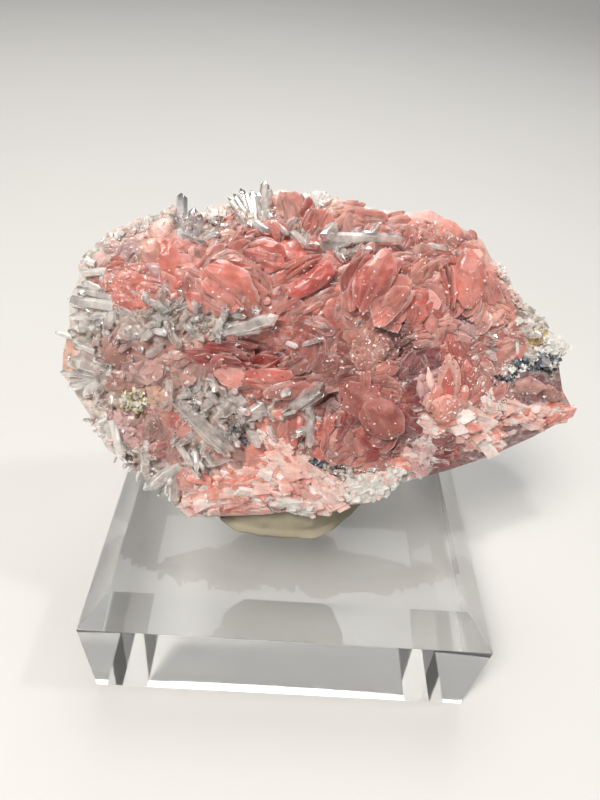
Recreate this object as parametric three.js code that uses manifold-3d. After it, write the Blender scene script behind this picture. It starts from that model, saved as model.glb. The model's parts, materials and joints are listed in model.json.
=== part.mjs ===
// A rhodochrosite specimen, fixed with putty on a clear acrylic block.
// Millimetres, +Z up. The origin is the middle of the block's underside; the specimen faces -Y.

import * as THREE from 'three';
import { mergeVertices } from 'three/addons/utils/BufferGeometryUtils.js';
import Module from 'manifold-3d';

const wasm = await Module();
wasm.setup();

// ---------------------------------------------------------------- driving dimensions

const BLOCK_SIDE = 50.8;
const BLOCK_HEIGHT = 19;
const BLOCK_BEVEL = 3.4;

const GAP = 0.3;                        // clearance between neighbouring solids
const LEAN = 25;                        // degrees that the specimen's face leans back
const FACE_FOOT = [0, -13.4, 22];       // the lower front edge of the specimen's face
const FLARE_CENTRE = [-2.9, 37.2];      // the rock spreads away from this point behind its face
const FLARE_LENGTH = 66.6;              // depth over which that spread doubles every distance
const ROCK_CENTRE = [1, 20.5];
const ROCK_THICKNESS = 17;
const ROCK_FOOT_HEIGHT = 21.3;          // no part of the rock is lower than this above the table
const FACE_SINK = 1.3;                  // how far the rock lies below the surface of what grew on it
const PUTTY_CENTRE = [-0.6, -3.6];
const PUTTY_REACH = [10.2, 9.4];        // half width and half depth of the putty's foot
const PUTTY_HEIGHT = 6.5;               // height of the lump before the rock presses into it
const BLADE_SIDES = 7;
const BLADE_ROOT = 1.9;                 // depth of a blade's rooted side, in half thicknesses

const FINISHES = {
  acrylic: { color: 0xdfe6e6, roughness: 0.05, metalness: 0 },
  putty: { color: 0x8f8873, roughness: 0.8, metalness: 0 },
  rock: { color: 0xc9a59c, roughness: 0.8, metalness: 0 },
  coral: { color: 0xc8605a, roughness: 0.35, metalness: 0 },
  salmon: { color: 0xe0958a, roughness: 0.4, metalness: 0 },
  cleavage: { color: 0xf0b9ae, roughness: 0.3, metalness: 0 },
  milky: { color: 0xe9e4de, roughness: 0.5, metalness: 0 },
  quartz: { color: 0xd5d0cc, roughness: 0.12, metalness: 0 },
  sphalerite: { color: 0x2e3034, roughness: 0.25, metalness: 0.5 },
  pyrite: { color: 0xc9c08a, roughness: 0.4, metalness: 0.6 },
};

// ---------------------------------------------------------------- places on the face

// The specimen is described lying on its back: u to the right and v up its face, in mm,
// with depth counted outwards from the face. A group tilts it up onto the block.

// Hollows and swells of the rock's face: u, v, radius, height.
const SWELLS = [
  [-9.5, 30, 4, 1.2], [7.3, 31, 3.5, 1.4], [17, 33, 3.5, 1], [9.3, 16.3, 4, 0.8],
  [17, 18, 2.5, 1.2], [-5, 5, 5, 0.8], [-21, 28, 5, 0.7],
  [-6, 22.3, 2.5, -1.8], [11, 24, 2.5, -1.5], [3, 17.5, 2, -1.4], [13, 18.5, 2, -1.2],
  [-13, 14.5, 3, -1], [17.5, 28.5, 2, -1.4], [2, 35, 2.5, -1.2],
];

function relief(u, v) {
  const across = ((u - ROCK_CENTRE[0]) / 31) ** 2;
  const rise = v - ROCK_CENTRE[1];
  const along = (rise / (rise > 0 ? 20.5 : 32)) ** 2;
  let depth = 1 - 4.6 * (across + along) ** 2;
  for (const [su, sv, radius, height] of SWELLS) {
    const away = ((u - su) ** 2 + (v - sv) ** 2) / radius ** 2;
    depth += height * Math.exp(-away);
  }
  return depth;
}

// A face place carried to its depth, on the flare of the rock's sides.
function placed(u, v, depth) {
  const spread = -depth / FLARE_LENGTH;
  return new THREE.Vector3(
    u + (u - FLARE_CENTRE[0]) * spread,
    v + (v - FLARE_CENTRE[1]) * spread,
    depth,
  );
}

// A place at a height above the rock's own surface.
function seated(u, v, height) {
  return placed(u, v, relief(u, v) + height);
}

// A repeatable number from 0 to 1 for each whole number.
function chance(number) {
  const wave = Math.sin(number * 127.1 + 11.7) * 43758.5453;
  return wave - Math.floor(wave);
}

// ---------------------------------------------------------------- solids

function solidOf(geometry) {
  geometry.deleteAttribute('normal');
  geometry.deleteAttribute('uv');
  const merged = mergeVertices(geometry, 1e-4);
  return new wasm.Manifold(new wasm.Mesh({
    numProp: 3,
    vertProperties: new Float32Array(merged.attributes.position.array),
    triVerts: new Uint32Array(merged.index.array),
  }));
}

function largestBody(solid) {
  const bodies = solid.decompose();
  return bodies.reduce((best, body) => (body.volume() > best.volume() ? body : best));
}

function joined(solids) {
  return solids.reduce((sum, solid) => sum.add(solid));
}

function meshOf(name, solid, finish) {
  const { vertProperties, triVerts } = solid.getMesh();
  const geometry = new THREE.BufferGeometry();
  geometry.setAttribute('position', new THREE.BufferAttribute(new Float32Array(vertProperties), 3));
  geometry.setIndex(new THREE.BufferAttribute(new Uint32Array(triVerts), 1));
  geometry.computeVertexNormals();
  const mesh = new THREE.Mesh(geometry, new THREE.MeshStandardMaterial(FINISHES[finish]));
  mesh.name = name;
  return mesh;
}

const radians = THREE.MathUtils.degToRad;

function profile(points) {
  return points.map(([radius, height]) => new THREE.Vector2(radius, height));
}

// Each shape below is given by its measures and returns a function that makes its solid,
// enlarged all round by a given amount.

// A lens-shaped rhodochrosite blade: place, height of its middle above the rock, length,
// width, thickness, turn of its long axis in the face, pitch of that axis out of the face,
// and roll about it, in degrees.
function blade(u, v, height, length, width, thickness, turn, pitch = 0, roll = 0) {
  return (grow) => {
    const half = thickness / 2 + grow;
    const outline = profile([[0, -half * BLADE_ROOT], [1, 0], [0.6, half * 0.75], [0, half]]);
    const geometry = new THREE.LatheGeometry(outline, BLADE_SIDES);
    geometry.rotateX(radians(90));
    geometry.scale(length / 2 + grow, width / 2 + grow, 1);
    return turnedAndSeated(geometry, [u, v, height], turn, pitch, roll);
  };
}

// A six-sided quartz prism with a pointed tip: root place, tip place and width, where each
// place is u, v and height above the rock.
function prism(root, tip, width) {
  return (grow) => {
    const from = seated(...root);
    const along = seated(...tip).sub(from);
    const length = along.length();
    const radius = width / 2 + grow;
    const shoulder = length - width * 0.45 + grow;
    const outline = profile([[0, -grow], [radius, -grow], [radius, shoulder], [0, length + grow * 1.4]]);
    const geometry = new THREE.LatheGeometry(outline, 6);
    const upright = new THREE.Vector3(0, 1, 0);
    geometry.applyQuaternion(new THREE.Quaternion().setFromUnitVectors(upright, along.normalize()));
    geometry.translate(from.x, from.y, from.z);
    return solidOf(geometry);
  };
}

// A broken cleavage block, a leaning box: place, height, size along u, v and depth, and its
// turn, pitch and roll.
function rhomb(u, v, height, length, width, thickness, turn, pitch = 0, roll = 0) {
  return (grow) => {
    const geometry = new THREE.BoxGeometry(length + 2 * grow, width + 2 * grow, thickness + 2 * grow);
    geometry.applyMatrix4(new THREE.Matrix4().makeShear(0, 0.1, 0.3, 0, 0.15, 0));
    return turnedAndSeated(geometry, [u, v, height], turn, pitch, roll);
  };
}

// A rough grain: place, height, and its size along u, v and depth.
function grain(u, v, height, length, width, thickness) {
  return (grow) => {
    const geometry = new THREE.IcosahedronGeometry(1, 0);
    const points = geometry.attributes.position;
    const corner = new THREE.Vector3();
    for (let index = 0; index < points.count; index += 1) {
      corner.fromBufferAttribute(points, index);
      const reach = 0.95 + 0.15 * Math.sin(corner.x * 5 + u) * Math.cos(corner.y * 5 + v);
      corner.multiplyScalar(reach);
      points.setXYZ(index, corner.x, corner.y, corner.z);
    }
    geometry.scale(length / 2 + grow, width / 2 + grow, thickness / 2 + grow);
    return turnedAndSeated(geometry, [u, v, height], 0, 0, 0);
  };
}

function turnedAndSeated(geometry, place, turn, pitch, roll) {
  geometry.rotateX(radians(roll));
  geometry.rotateY(radians(-pitch));
  geometry.rotateZ(radians(turn));
  const middle = seated(...place);
  geometry.translate(middle.x, middle.y, middle.z);
  return solidOf(geometry);
}

// ---------------------------------------------------------------- the host rock

// Its outline, clockwise from the left.
const ROCK_OUTLINE = [
  [-28.8, 18.6], [-28.5, 21.3], [-27.6, 24.5], [-27.4, 28], [-26.3, 30], [-24.6, 33.5],
  [-20.4, 35.7], [-16.8, 37.9], [-13.3, 37.8], [-10.1, 39.2], [-7, 40.2], [-4.3, 41],
  [-2, 40.5], [-0.5, 40.9], [3.6, 40.1], [7, 39.7], [10, 39.9], [12.1, 40.2], [14.4, 39.1],
  [16.2, 38.3], [18.4, 37.2], [19.7, 35.6], [22.2, 33.5], [24.1, 30.7], [27.7, 28],
  [29.8, 26.6], [29.7, 24.3], [30.9, 21], [31.9, 19], [31.5, 17.2], [28.5, 15], [23.7, 12],
  [18.9, 9.8], [13.1, 7.6], [8.7, 4.5], [2, 3.1], [-4.1, 2.1], [-11.5, 1.4], [-14.2, 2.8],
  [-16.5, 4.8], [-19.3, 6.8], [-22, 8.4], [-24, 10], [-25.7, 13.5], [-27.7, 16.8],
];
// Rings from the middle of the face to its rim, and on round the back: reach and depth.
const FACE_RINGS = [0.3, 0.6, 0.84, 1];
const BACK_RINGS = [[0.99, 0.36], [0.9, 0.6], [0.7, 0.82], [0.38, 0.96]];

function rockPoint(corner, reach, grow) {
  const [cu, cv] = ROCK_CENTRE;
  const out = new THREE.Vector2(corner[0] - cu, corner[1] - cv);
  out.setLength(out.length() * reach + grow);
  return [cu + out.x, cv + out.y];
}

function hostRock(grow) {
  const corners = ROCK_OUTLINE.length;
  const points = [];
  const triangles = [];
  const [cu, cv] = ROCK_CENTRE;
  points.push(...placed(cu, cv, relief(cu, cv) - FACE_SINK + grow));
  for (const reach of FACE_RINGS) {
    const sink = FACE_SINK * (1 - reach ** 8);
    for (const corner of ROCK_OUTLINE) {
      const [u, v] = rockPoint(corner, reach, grow);
      points.push(...placed(u, v, relief(u, v) - sink + grow));
    }
  }
  BACK_RINGS.forEach(([reach, share], ring) => {
    ROCK_OUTLINE.forEach((corner, index) => {
      const [u, v] = rockPoint(corner, reach, grow);
      const rough = 1.8 * (chance(ring * corners + index) - 0.5);
      points.push(u, v, -ROCK_THICKNESS * share + rough - grow);
    });
  });
  points.push(cu, cv, -ROCK_THICKNESS - grow);
  const rings = FACE_RINGS.length + BACK_RINGS.length;
  const last = points.length / 3 - 1;
  for (let index = 0; index < corners; index += 1) {
    const next = (index + 1) % corners;
    triangles.push(0, 1 + next, 1 + index);
    for (let ring = 0; ring < rings - 1; ring += 1) {
      const inner = 1 + ring * corners;
      const outer = inner + corners;
      triangles.push(inner + index, inner + next, outer + next);
      triangles.push(inner + index, outer + next, outer + index);
    }
    const end = 1 + (rings - 1) * corners;
    triangles.push(end + index, end + next, last);
  }
  const geometry = new THREE.BufferGeometry();
  geometry.setAttribute('position', new THREE.BufferAttribute(new Float32Array(points), 3));
  geometry.setIndex(triangles);
  return solidOf(geometry).subtract(underside(grow));
}

const tilt = new THREE.Matrix4()
  .makeRotationX(radians(90 - LEAN))
  .setPosition(...FACE_FOOT);
const untilt = tilt.clone().invert();

// The space under the rock, as a slab that trims its foot level.
function underside(grow) {
  const thickness = 20;
  const slab = new THREE.BoxGeometry(100, 100, thickness);
  slab.translate(0, 0, ROCK_FOOT_HEIGHT - grow - thickness / 2);
  slab.applyMatrix4(untilt);
  return solidOf(slab);
}

// ---------------------------------------------------------------- what grows on the rock

// Each entry is a node: its name, finish and the pieces that grew together into it. Earlier
// nodes keep their shape, and later ones are cut back to leave a gap to them.
const GROWTHS = [
  ['quartz_standing_prisms', 'quartz', [
    grain(-14.4, 35.6, -0.6, 4, 1.8, 2),
    prism([-15.2, 35.2, -0.7], [-15.5, 39.9, 1.2], 1.3),
    prism([-14.2, 35.6, -0.7], [-13.9, 38.7, 1], 1.1),
    prism([-13.6, 35.4, -0.7], [-13, 38, 1.4], 0.9),
    prism([-13.4, 35.4, -0.6], [-10.1, 37.1, 0.9], 1),
  ]],
  ['quartz_needle_spray', 'quartz', [
    grain(-7, 37.2, -0.4, 3.4, 2.6, 2.2),
    prism([-7, 36.9, -0.6], [-10, 40.2, 0.8], 1),
    prism([-7, 36.9, -0.6], [-8.9, 41, 0.7], 1),
    prism([-6.8, 36.9, -0.6], [-7.6, 40.8, 1], 1.1),
    prism([-6.5, 36.9, -0.6], [-6.2, 42, 0.8], 1.2),
    prism([-6.3, 36.9, -0.5], [-5.2, 41, 1], 0.9),
  ]],
  ['quartz_long_prism', 'quartz', [
    grain(0.6, 35.6, -0.2, 4.2, 3, 2.4),
    prism([-0.6, 35.3, 0], [9.2, 37.3, 2.1], 1.2),
    prism([0.2, 34.8, -0.2], [1.7, 38.3, 1.1], 1.9),
    prism([1.2, 35.4, -0.2], [3.8, 36.2, 1.4], 0.6),
    prism([1.2, 34.6, -0.5], [6, 35.2, 0.7], 1.3),
  ]],
  ['quartz_diagonal_prisms', 'quartz', [
    grain(-4.9, 37.7, -0.2, 3, 1.8, 1.8),
    prism([-5.6, 38.5, 0], [-2.6, 35.6, 0.9], 1),
    prism([-6, 37.4, 0], [-4.9, 36, 1.5], 1),
  ]],
  ['quartz_big_prism', 'quartz', [
    prism([-10.6, 25, -0.7], [-3.7, 27.2, 1.3], 1.7),
    prism([-6.6, 26.2, -0.4], [-6.1, 28.4, 1], 0.8),
  ]],
  ['quartz_striated_prism', 'quartz', [
    prism([-1.6, 16.3, -0.4], [2, 19.8, 2.2], 1.8),
    prism([-0.4, 16.8, -0.2], [2.4, 18.6, 1.6], 1.1),
  ]],
  ['quartz_bright_prism', 'quartz', [
    prism([-0.6, 27, -0.6], [2.1, 26.5, 1], 1),
  ]],
  ['quartz_small_bright_prism', 'quartz', [
    prism([-1.2, 24, -0.6], [1.5, 25.1, 1], 0.8),
  ]],
  ['quartz_striped_prism', 'quartz', [
    prism([-14.6, 25.4, -0.6], [-12.2, 23.7, 1.3], 1.1),
  ]],
  ['quartz_left_prisms', 'quartz', [
    grain(-23.4, 26.8, -0.4, 3, 4.2, 2.2),
    prism([-22.6, 27, -0.3], [-28.2, 27.4, 1], 1.8),
    prism([-22.4, 25.9, -0.3], [-27.9, 25.5, 1], 1.4),
    prism([-22.8, 28, -0.3], [-27, 29, 0.8], 1.3),
    prism([-22.8, 26.5, -0.3], [-24, 24, 1.3], 1.2),
  ]],
  ['quartz_upper_left_prisms', 'quartz', [
    grain(-24.4, 30.6, -0.3, 2.4, 2, 1.8),
    prism([-23.6, 30.9, 0], [-26.7, 30.5, 0.9], 1),
    prism([-24.2, 30.1, 0], [-21.8, 30.6, 1.1], 0.7),
  ]],
  ['quartz_milky_wedge', 'quartz', [
    prism([-21, 18.8, -0.7], [-28.4, 20.5, 0.8], 2.2),
    prism([-21.5, 18.4, -0.5], [-27.6, 19, 0.9], 1.4),
  ]],
  ['quartz_pale_fan', 'quartz', [
    prism([-24.6, 18.1, -0.5], [-28.4, 17, 1], 1.2),
    prism([-24.8, 17.8, -0.5], [-26.8, 16, 1.1], 1.5),
    prism([-24.8, 18.4, -0.4], [-29.2, 18.7, 0.9], 0.8),
  ]],
  ['quartz_lower_left_prisms', 'quartz', [
    grain(-23.5, 12.6, -0.4, 3, 2.6, 2.2),
    prism([-23.2, 13.2, -0.4], [-22, 8.1, 1.4], 1.3),
    prism([-23.7, 13, -0.4], [-23.9, 9.8, 1], 1.4),
    prism([-23.7, 13.2, -0.4], [-25.6, 12.2, 0.9], 1.2),
  ]],
  ['quartz_hanging_prism', 'quartz', [
    prism([-18.9, 10.9, -0.6], [-19.3, 5.9, 1.2], 1.1),
  ]],
  ['quartz_corner_prism', 'quartz', [
    prism([-14.7, 8, -0.7], [-19.4, 3.9, 1.4], 2),
    prism([-15.7, 7, -0.2], [-15.5, 2.2, 0.6], 1.6),
  ]],
  ['quartz_long_bundle', 'quartz', [
    prism([-16.4, 16.8, -0.7], [-8.6, 9.3, 1.3], 1.4),
    prism([-15.2, 17, -0.7], [-8, 10.2, 1], 1.3),
    prism([-15.6, 15.2, -0.7], [-10, 9.6, 1], 1.2),
  ]],
  ['quartz_crossed_prisms', 'quartz', [
    grain(-13.2, 9.3, -0.2, 3.6, 1.8, 2),
    prism([-15.5, 11.2, -0.3], [-13.1, 7.6, 1.6], 1),
    prism([-13, 10, -0.3], [-12.7, 7.1, 1.6], 0.9),
    prism([-12.4, 10, -0.3], [-10.7, 8, 1.4], 0.9),
  ]],
  ['quartz_grey_pair', 'quartz', [
    prism([-7.4, 17.4, -0.5], [-10.8, 14.2, 0.9], 2.2),
    prism([-4.9, 16.4, -0.5], [-8.4, 14.6, 0.6], 2),
  ]],
  ['quartz_upright_prism', 'quartz', [
    prism([0.8, 16.1, -0.6], [1.2, 11.2, 0.9], 1.4),
  ]],

  ['rhodochrosite_salmon_blades', 'salmon', [
    blade(-18.4, 34.7, 0, 6.6, 4.4, 1.9, 78, 0, 12),
    blade(-20.3, 33.4, 0.1, 5.6, 3.8, 1.9, 60),
    blade(-17.4, 33.2, 0.2, 5.4, 3.6, 1.9, 112, 0, 4),
    blade(-18.6, 36.2, 0, 4.4, 3, 1.8, 30),
  ]],
  ['rhodochrosite_left_patch', 'coral', [
    blade(-21.4, 29.2, -0.1, 5.4, 4, 1.7, 20, 4, 6),
    blade(-18.2, 29, -0.1, 4.8, 3.2, 1.6, -14, 0, -8),
  ]],
  ['rhodochrosite_bright_blades', 'coral', [
    blade(-9.4, 30, 0.2, 8, 5.8, 2.4, -24, 0, 10),
    blade(-6, 34.2, 0.1, 5.6, 4.2, 2, -8, 8, -6),
    blade(-8.4, 32.7, 0.1, 6, 4, 2, 64),
    blade(-11.2, 33.2, 0, 5, 3.4, 1.7, 30),
    blade(-12.8, 30.3, -0.1, 4.8, 3, 1.6, -40),
  ]],
  ['rhodochrosite_leaf_stack', 'coral', [
    blade(-0.3, 31.9, 0.5, 7, 3, 1.7, 38, 0, -16),
    blade(-1.6, 32.8, 0.2, 6, 2.4, 1.5, 36, 6, 24),
    blade(-2.9, 32.5, 0, 5.4, 2.4, 1.5, 30, 8, 30),
    blade(0.6, 29.9, -0.2, 5.4, 3, 1.6, 28, -6, 8),
  ]],
  ['rhodochrosite_top_blades', 'salmon', [
    blade(-2.9, 39.2, 0, 5.6, 4, 2, -60, 0, -10),
    blade(-0.8, 38.2, 0, 5.2, 3.6, 1.8, 72, 8, 10),
    blade(2.2, 39.2, 0.1, 5.8, 3.2, 1.9, 6, 0, -8),
    blade(6, 38.9, 0, 5, 3, 1.9, -12),
  ]],
  ['rhodochrosite_top_right_blades', 'salmon', [
    blade(12.3, 38.9, 0, 5.6, 3.6, 1.9, 6, 0, -12),
    blade(11.3, 37.4, 0.1, 4.8, 3.2, 1.9, 84),
    blade(13.6, 37.4, 0, 5, 3.4, 1.9, -50),
  ]],
  ['rhodochrosite_centre_blades', 'coral', [
    blade(6.7, 32.3, 0.4, 7.4, 4.6, 2.3, 74, 0, -10),
    blade(8.4, 30, 0.2, 6.4, 4, 2, 58, -4, 12),
    blade(4.4, 32.2, -0.1, 4, 3, 1.6, 50),
    blade(10.6, 32.4, 0.1, 6.4, 3.8, 1.9, 48, 0, 6),
    blade(10.8, 29.6, 0.1, 5.2, 4, 1.9, 80),
  ]],
  ['rhodochrosite_right_blades', 'coral', [
    blade(17.8, 33.2, 0.4, 7.2, 4.2, 2.2, 104, 0, 12),
    blade(17.3, 36.1, 0.1, 4, 3.8, 2, 70, 8, 0),
    blade(19.4, 32.2, 0.2, 5.4, 3.6, 1.9, -50),
    blade(15.9, 32.2, 0, 5.2, 2.4, 1.6, 108, 0, -20),
  ]],
  ['rhodochrosite_layered_blades', 'coral', [
    blade(-4.6, 19.8, 0.3, 7.4, 3.8, 1.8, 10, 0, 14),
    blade(-5.2, 21.6, 0, 6.8, 3.4, 1.7, 4, 0, 16),
    blade(-2.2, 18.4, 0.2, 6, 3.4, 1.7, 14, 0, 12),
    blade(-8.6, 22.3, 0, 6, 3.6, 1.7, -6, 0, 14),
  ]],
  ['rhodochrosite_sparkling_dome', 'salmon', [
    blade(7.2, 24.4, 0.2, 6.6, 5, 2.6, 78),
    blade(8.6, 21.6, 0.1, 4.8, 3.4, 1.8, 16, 0, 12),
    blade(4.6, 22.1, 0, 4.6, 3, 1.7, 70),
  ]],
  ['rhodochrosite_smooth_lens', 'coral', [
    blade(9.4, 16.4, 0.4, 7.9, 5.8, 2.4, -14, 0, 8),
    blade(10.6, 15.2, 0.9, 4.6, 4.2, 1.7, -14, 6, 10),
    blade(6.2, 15.7, 0, 3.6, 3, 1.6, 60),
  ]],
  ['rhodochrosite_teardrop', 'salmon', [
    blade(17, 18.6, 0.4, 7, 4, 2.2, 96, 0, -8),
    blade(15.2, 19.9, 0.1, 4, 2.6, 1.7, 96),
    blade(18.2, 20.6, 0, 5, 3.4, 1.8, 120),
  ]],
  ['rhodochrosite_plum_blades', 'coral', [
    blade(13.8, 23.8, 0, 5.4, 4, 1.8, 20),
    blade(17, 24.9, 0, 5.6, 4, 1.8, -60),
    blade(20, 25.2, -0.1, 5, 3.4, 1.7, 40),
    blade(15.8, 27, 0, 4.8, 3, 1.6, 4),
  ]],
  ['rhodochrosite_brown_lenses', 'coral', [
    blade(-22, 21.8, 0, 4.8, 3.6, 1.8, 30),
    blade(-19, 22, 0, 4.8, 3.4, 1.7, -20),
    blade(-19.1, 20.2, 0, 4.2, 3, 1.7, 70),
  ]],
  ['rhodochrosite_lower_left_blades', 'coral', [
    blade(-17.4, 12.4, 0.1, 4.6, 2.8, 1.8, 96),
    blade(-17.4, 10, 0, 4.4, 3, 1.7, 26),
    blade(-18.6, 12.2, 0, 3.6, 2.8, 1.7, 60),
  ]],
  ['rhodochrosite_upright_blades', 'coral', [
    blade(3.2, 13.2, 0, 5.8, 2.6, 1.8, 84, 0, 14),
    blade(5, 12, 0, 5, 3.2, 1.8, 80),
  ]],
  ['rhodochrosite_inner_blade', 'coral', [
    blade(-1, 13.4, 0, 5, 2.4, 1.8, 88, 0, -12),
  ]],
  ['rhodochrosite_wedge_blade', 'coral', [
    blade(-14, 13, 0, 4.4, 1.6, 1.6, -34),
  ]],
  ['rhodochrosite_rose_lens', 'coral', [
    blade(-12.2, 5.9, 0.2, 4.2, 2.2, 1.6, -8),
  ]],

  ['cleavage_lower_left', 'cleavage', [
    rhomb(-11.2, 3, -0.4, 6.6, 3.4, 2.4, -14, 0, -12),
    rhomb(-6.4, 5.4, -0.3, 6.2, 4.6, 2.6, 26, 0, -8),
    rhomb(-13.8, 3.2, -0.5, 2.6, 2.4, 2, 30),
  ]],
  ['cleavage_lower_middle', 'cleavage', [
    rhomb(0, 7.6, -0.4, 6.4, 3.2, 2.4, -36, 0, -10),
    rhomb(2.4, 5.6, -0.4, 6, 2.6, 2.2, -28, 0, -14),
    rhomb(-2.6, 11, -0.4, 5, 2, 1.8, -42),
    rhomb(-1.4, 4.2, -0.7, 4.4, 1.6, 1.8, 8),
  ]],
  ['cleavage_rose_column', 'cleavage', [
    rhomb(15.6, 12, -0.3, 2.4, 4.2, 2.2, 8),
    rhomb(14.4, 9.6, -0.4, 2.6, 3, 2, 20),
    rhomb(11.6, 10.8, -0.5, 3.4, 3.4, 1.8, -14),
  ]],
  ['cleavage_lower_right', 'cleavage', [
    rhomb(20, 16, -0.3, 6, 3.6, 2.2, -34, 0, -8),
    rhomb(20.4, 13.9, -0.4, 5.4, 2.4, 2, 16),
    rhomb(16.8, 15.4, -0.3, 4.4, 2, 1.6, -36),
  ]],
  ['cleavage_right_ledge', 'cleavage', [
    rhomb(27.6, 17.2, -0.3, 6, 2, 2, -4),
    rhomb(24, 17.6, -0.3, 3.2, 3, 1.8, -30),
  ]],
  ['cleavage_right_nub', 'salmon', [
    rhomb(31, 18, -0.2, 2.6, 2.2, 2.4, 24),
  ]],
  ['cleavage_plum_lump', 'coral', [
    rhomb(18.6, 11.6, -0.6, 3.6, 2.6, 2.4, 8),
  ]],
  ['milky_quartz_foot', 'milky', [
    rhomb(8.4, 6.6, -0.5, 6.6, 3.8, 2.4, 10),
    rhomb(12, 7.8, -0.6, 3, 2.2, 1.8, 6),
  ]],
  ['milky_quartz_right_tip', 'milky', [
    rhomb(28.8, 26.8, -0.1, 4.2, 2, 2, -22),
    rhomb(25.9, 28.2, -0.2, 4, 2.2, 1.8, -34),
  ]],
  ['milky_quartz_top_knob', 'milky', [
    rhomb(-0.6, 40.7, 0, 2.4, 1.1, 1.7, -4),
  ]],
  ['sphalerite_right', 'sphalerite', [
    grain(28.2, 24.6, 0.3, 3.8, 3, 2.4),
    grain(26.2, 24, 0.2, 3.6, 2.8, 2.2),
    grain(24.3, 22.8, 0.1, 3.8, 2.8, 2.2),
  ]],
  ['sphalerite_middle', 'sphalerite', [
    grain(-8, 12.6, 0.1, 2.2, 2.2, 1.8),
    grain(-7.1, 11.8, 0, 2, 1.8, 1.6),
  ]],
  ['sphalerite_left', 'sphalerite', [
    grain(-13.3, 17.8, 0.1, 1.8, 2, 1.8),
  ]],
  ['pyrite_left', 'pyrite', [
    grain(-20.4, 15.8, 0, 4, 2.8, 2),
    grain(-18.8, 14.8, -0.1, 2.8, 2, 1.6),
  ]],
];

// ---------------------------------------------------------------- putty and block

// A pressed lump: a round-edged foot that swells a little and closes over.
function putty() {
  const outline = profile([
    [0, 0], [0.9, 0], [1, 0.16], [0.97, 0.4], [0.86, 0.75], [0.6, 1], [0, 1],
  ]);
  const geometry = new THREE.LatheGeometry(outline, 16);
  geometry.rotateX(radians(90));
  geometry.scale(...PUTTY_REACH, PUTTY_HEIGHT);
  geometry.translate(...PUTTY_CENTRE, BLOCK_HEIGHT + GAP);
  geometry.applyMatrix4(untilt);
  return solidOf(geometry);
}

// A square block whose upper edges are bevelled, turned from a four-sided profile.
function block() {
  const corner = (BLOCK_SIDE / 2) * Math.SQRT2;
  const outline = profile([
    [0, 0], [corner, 0], [corner, BLOCK_HEIGHT - BLOCK_BEVEL],
    [corner - BLOCK_BEVEL * Math.SQRT2, BLOCK_HEIGHT], [0, BLOCK_HEIGHT],
  ]);
  const geometry = new THREE.LatheGeometry(outline, 4);
  geometry.rotateX(radians(90));
  geometry.rotateZ(radians(45));
  return solidOf(geometry);
}

// ---------------------------------------------------------------- assembly

const specimen = new THREE.Group();
specimen.applyMatrix4(tilt);

specimen.add(meshOf('host_rock', hostRock(0), 'rock'));
let taken = hostRock(GAP);
for (const [name, finish, pieces] of GROWTHS) {
  const whole = joined(pieces.map((makeSolid) => makeSolid(0)));
  specimen.add(meshOf(name, largestBody(whole.subtract(taken)), finish));
  taken = taken.add(joined(pieces.map((makeSolid) => makeSolid(GAP))));
}
specimen.add(meshOf('mounting_putty', largestBody(putty().subtract(taken)), 'putty'));

const part = new THREE.Group();
part.add(meshOf('acrylic_block', block(), 'acrylic'));
part.add(specimen);

export default part;
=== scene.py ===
"""The looks of a rhodochrosite specimen on a clear acrylic block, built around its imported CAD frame."""

import json
import math
import random

import bpy
import numpy as np
from mathutils import Matrix, Vector
from mathutils.bvhtree import BVHTree


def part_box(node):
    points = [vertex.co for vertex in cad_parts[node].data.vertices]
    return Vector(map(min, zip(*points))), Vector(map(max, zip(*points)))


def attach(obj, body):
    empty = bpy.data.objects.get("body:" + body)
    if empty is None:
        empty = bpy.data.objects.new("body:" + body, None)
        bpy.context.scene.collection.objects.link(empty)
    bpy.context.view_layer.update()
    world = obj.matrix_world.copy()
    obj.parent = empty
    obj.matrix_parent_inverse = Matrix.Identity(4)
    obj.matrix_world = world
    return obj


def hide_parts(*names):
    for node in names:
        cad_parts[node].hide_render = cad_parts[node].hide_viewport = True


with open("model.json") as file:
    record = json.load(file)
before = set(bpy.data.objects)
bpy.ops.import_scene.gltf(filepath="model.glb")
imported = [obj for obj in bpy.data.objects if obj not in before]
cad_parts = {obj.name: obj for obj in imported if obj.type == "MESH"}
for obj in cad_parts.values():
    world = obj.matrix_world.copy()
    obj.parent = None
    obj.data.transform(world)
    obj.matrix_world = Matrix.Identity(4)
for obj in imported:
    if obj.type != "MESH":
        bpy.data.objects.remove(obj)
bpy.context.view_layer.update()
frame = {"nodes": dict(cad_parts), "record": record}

# ---------------------------------------------------------------- measures

MM = 0.001
FULL_TURN = 2 * math.pi
PHASES = 6.3              # the phase of a wave is drawn from 0 to just over a full turn
BLOCK_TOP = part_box("acrylic_block")[1].z / MM
LEAN = math.radians(25)                       # how far the crystal face leans back
FACE_FOOT = (0.0, -13.4, BLOCK_TOP + 3.0)     # lower front edge of the face, in mm
FLARE_CENTRE = np.array((-2.9, 37.2))         # the rock spreads away from this point behind its face
FLARE_LENGTH = 66.6
ROCK_CENTRE = np.array((1.0, 20.5))
ROCK_THICKNESS = 17.0

# The face is a low dome: its reach across, up and down from the rock's centre, and its drop at the rim.
DOME_ACROSS = 31
DOME_UP = 20.5
DOME_DOWN = 32.0
DOME_DROP = 4.6

# Face places are (u, v, depth) in mm: u to the right, v up the face, depth outwards.
FACE = (Matrix.Scale(MM, 4) @ Matrix.Translation(FACE_FOOT)
        @ Matrix.Rotation(math.pi / 2 - LEAN, 4, "X"))

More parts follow.
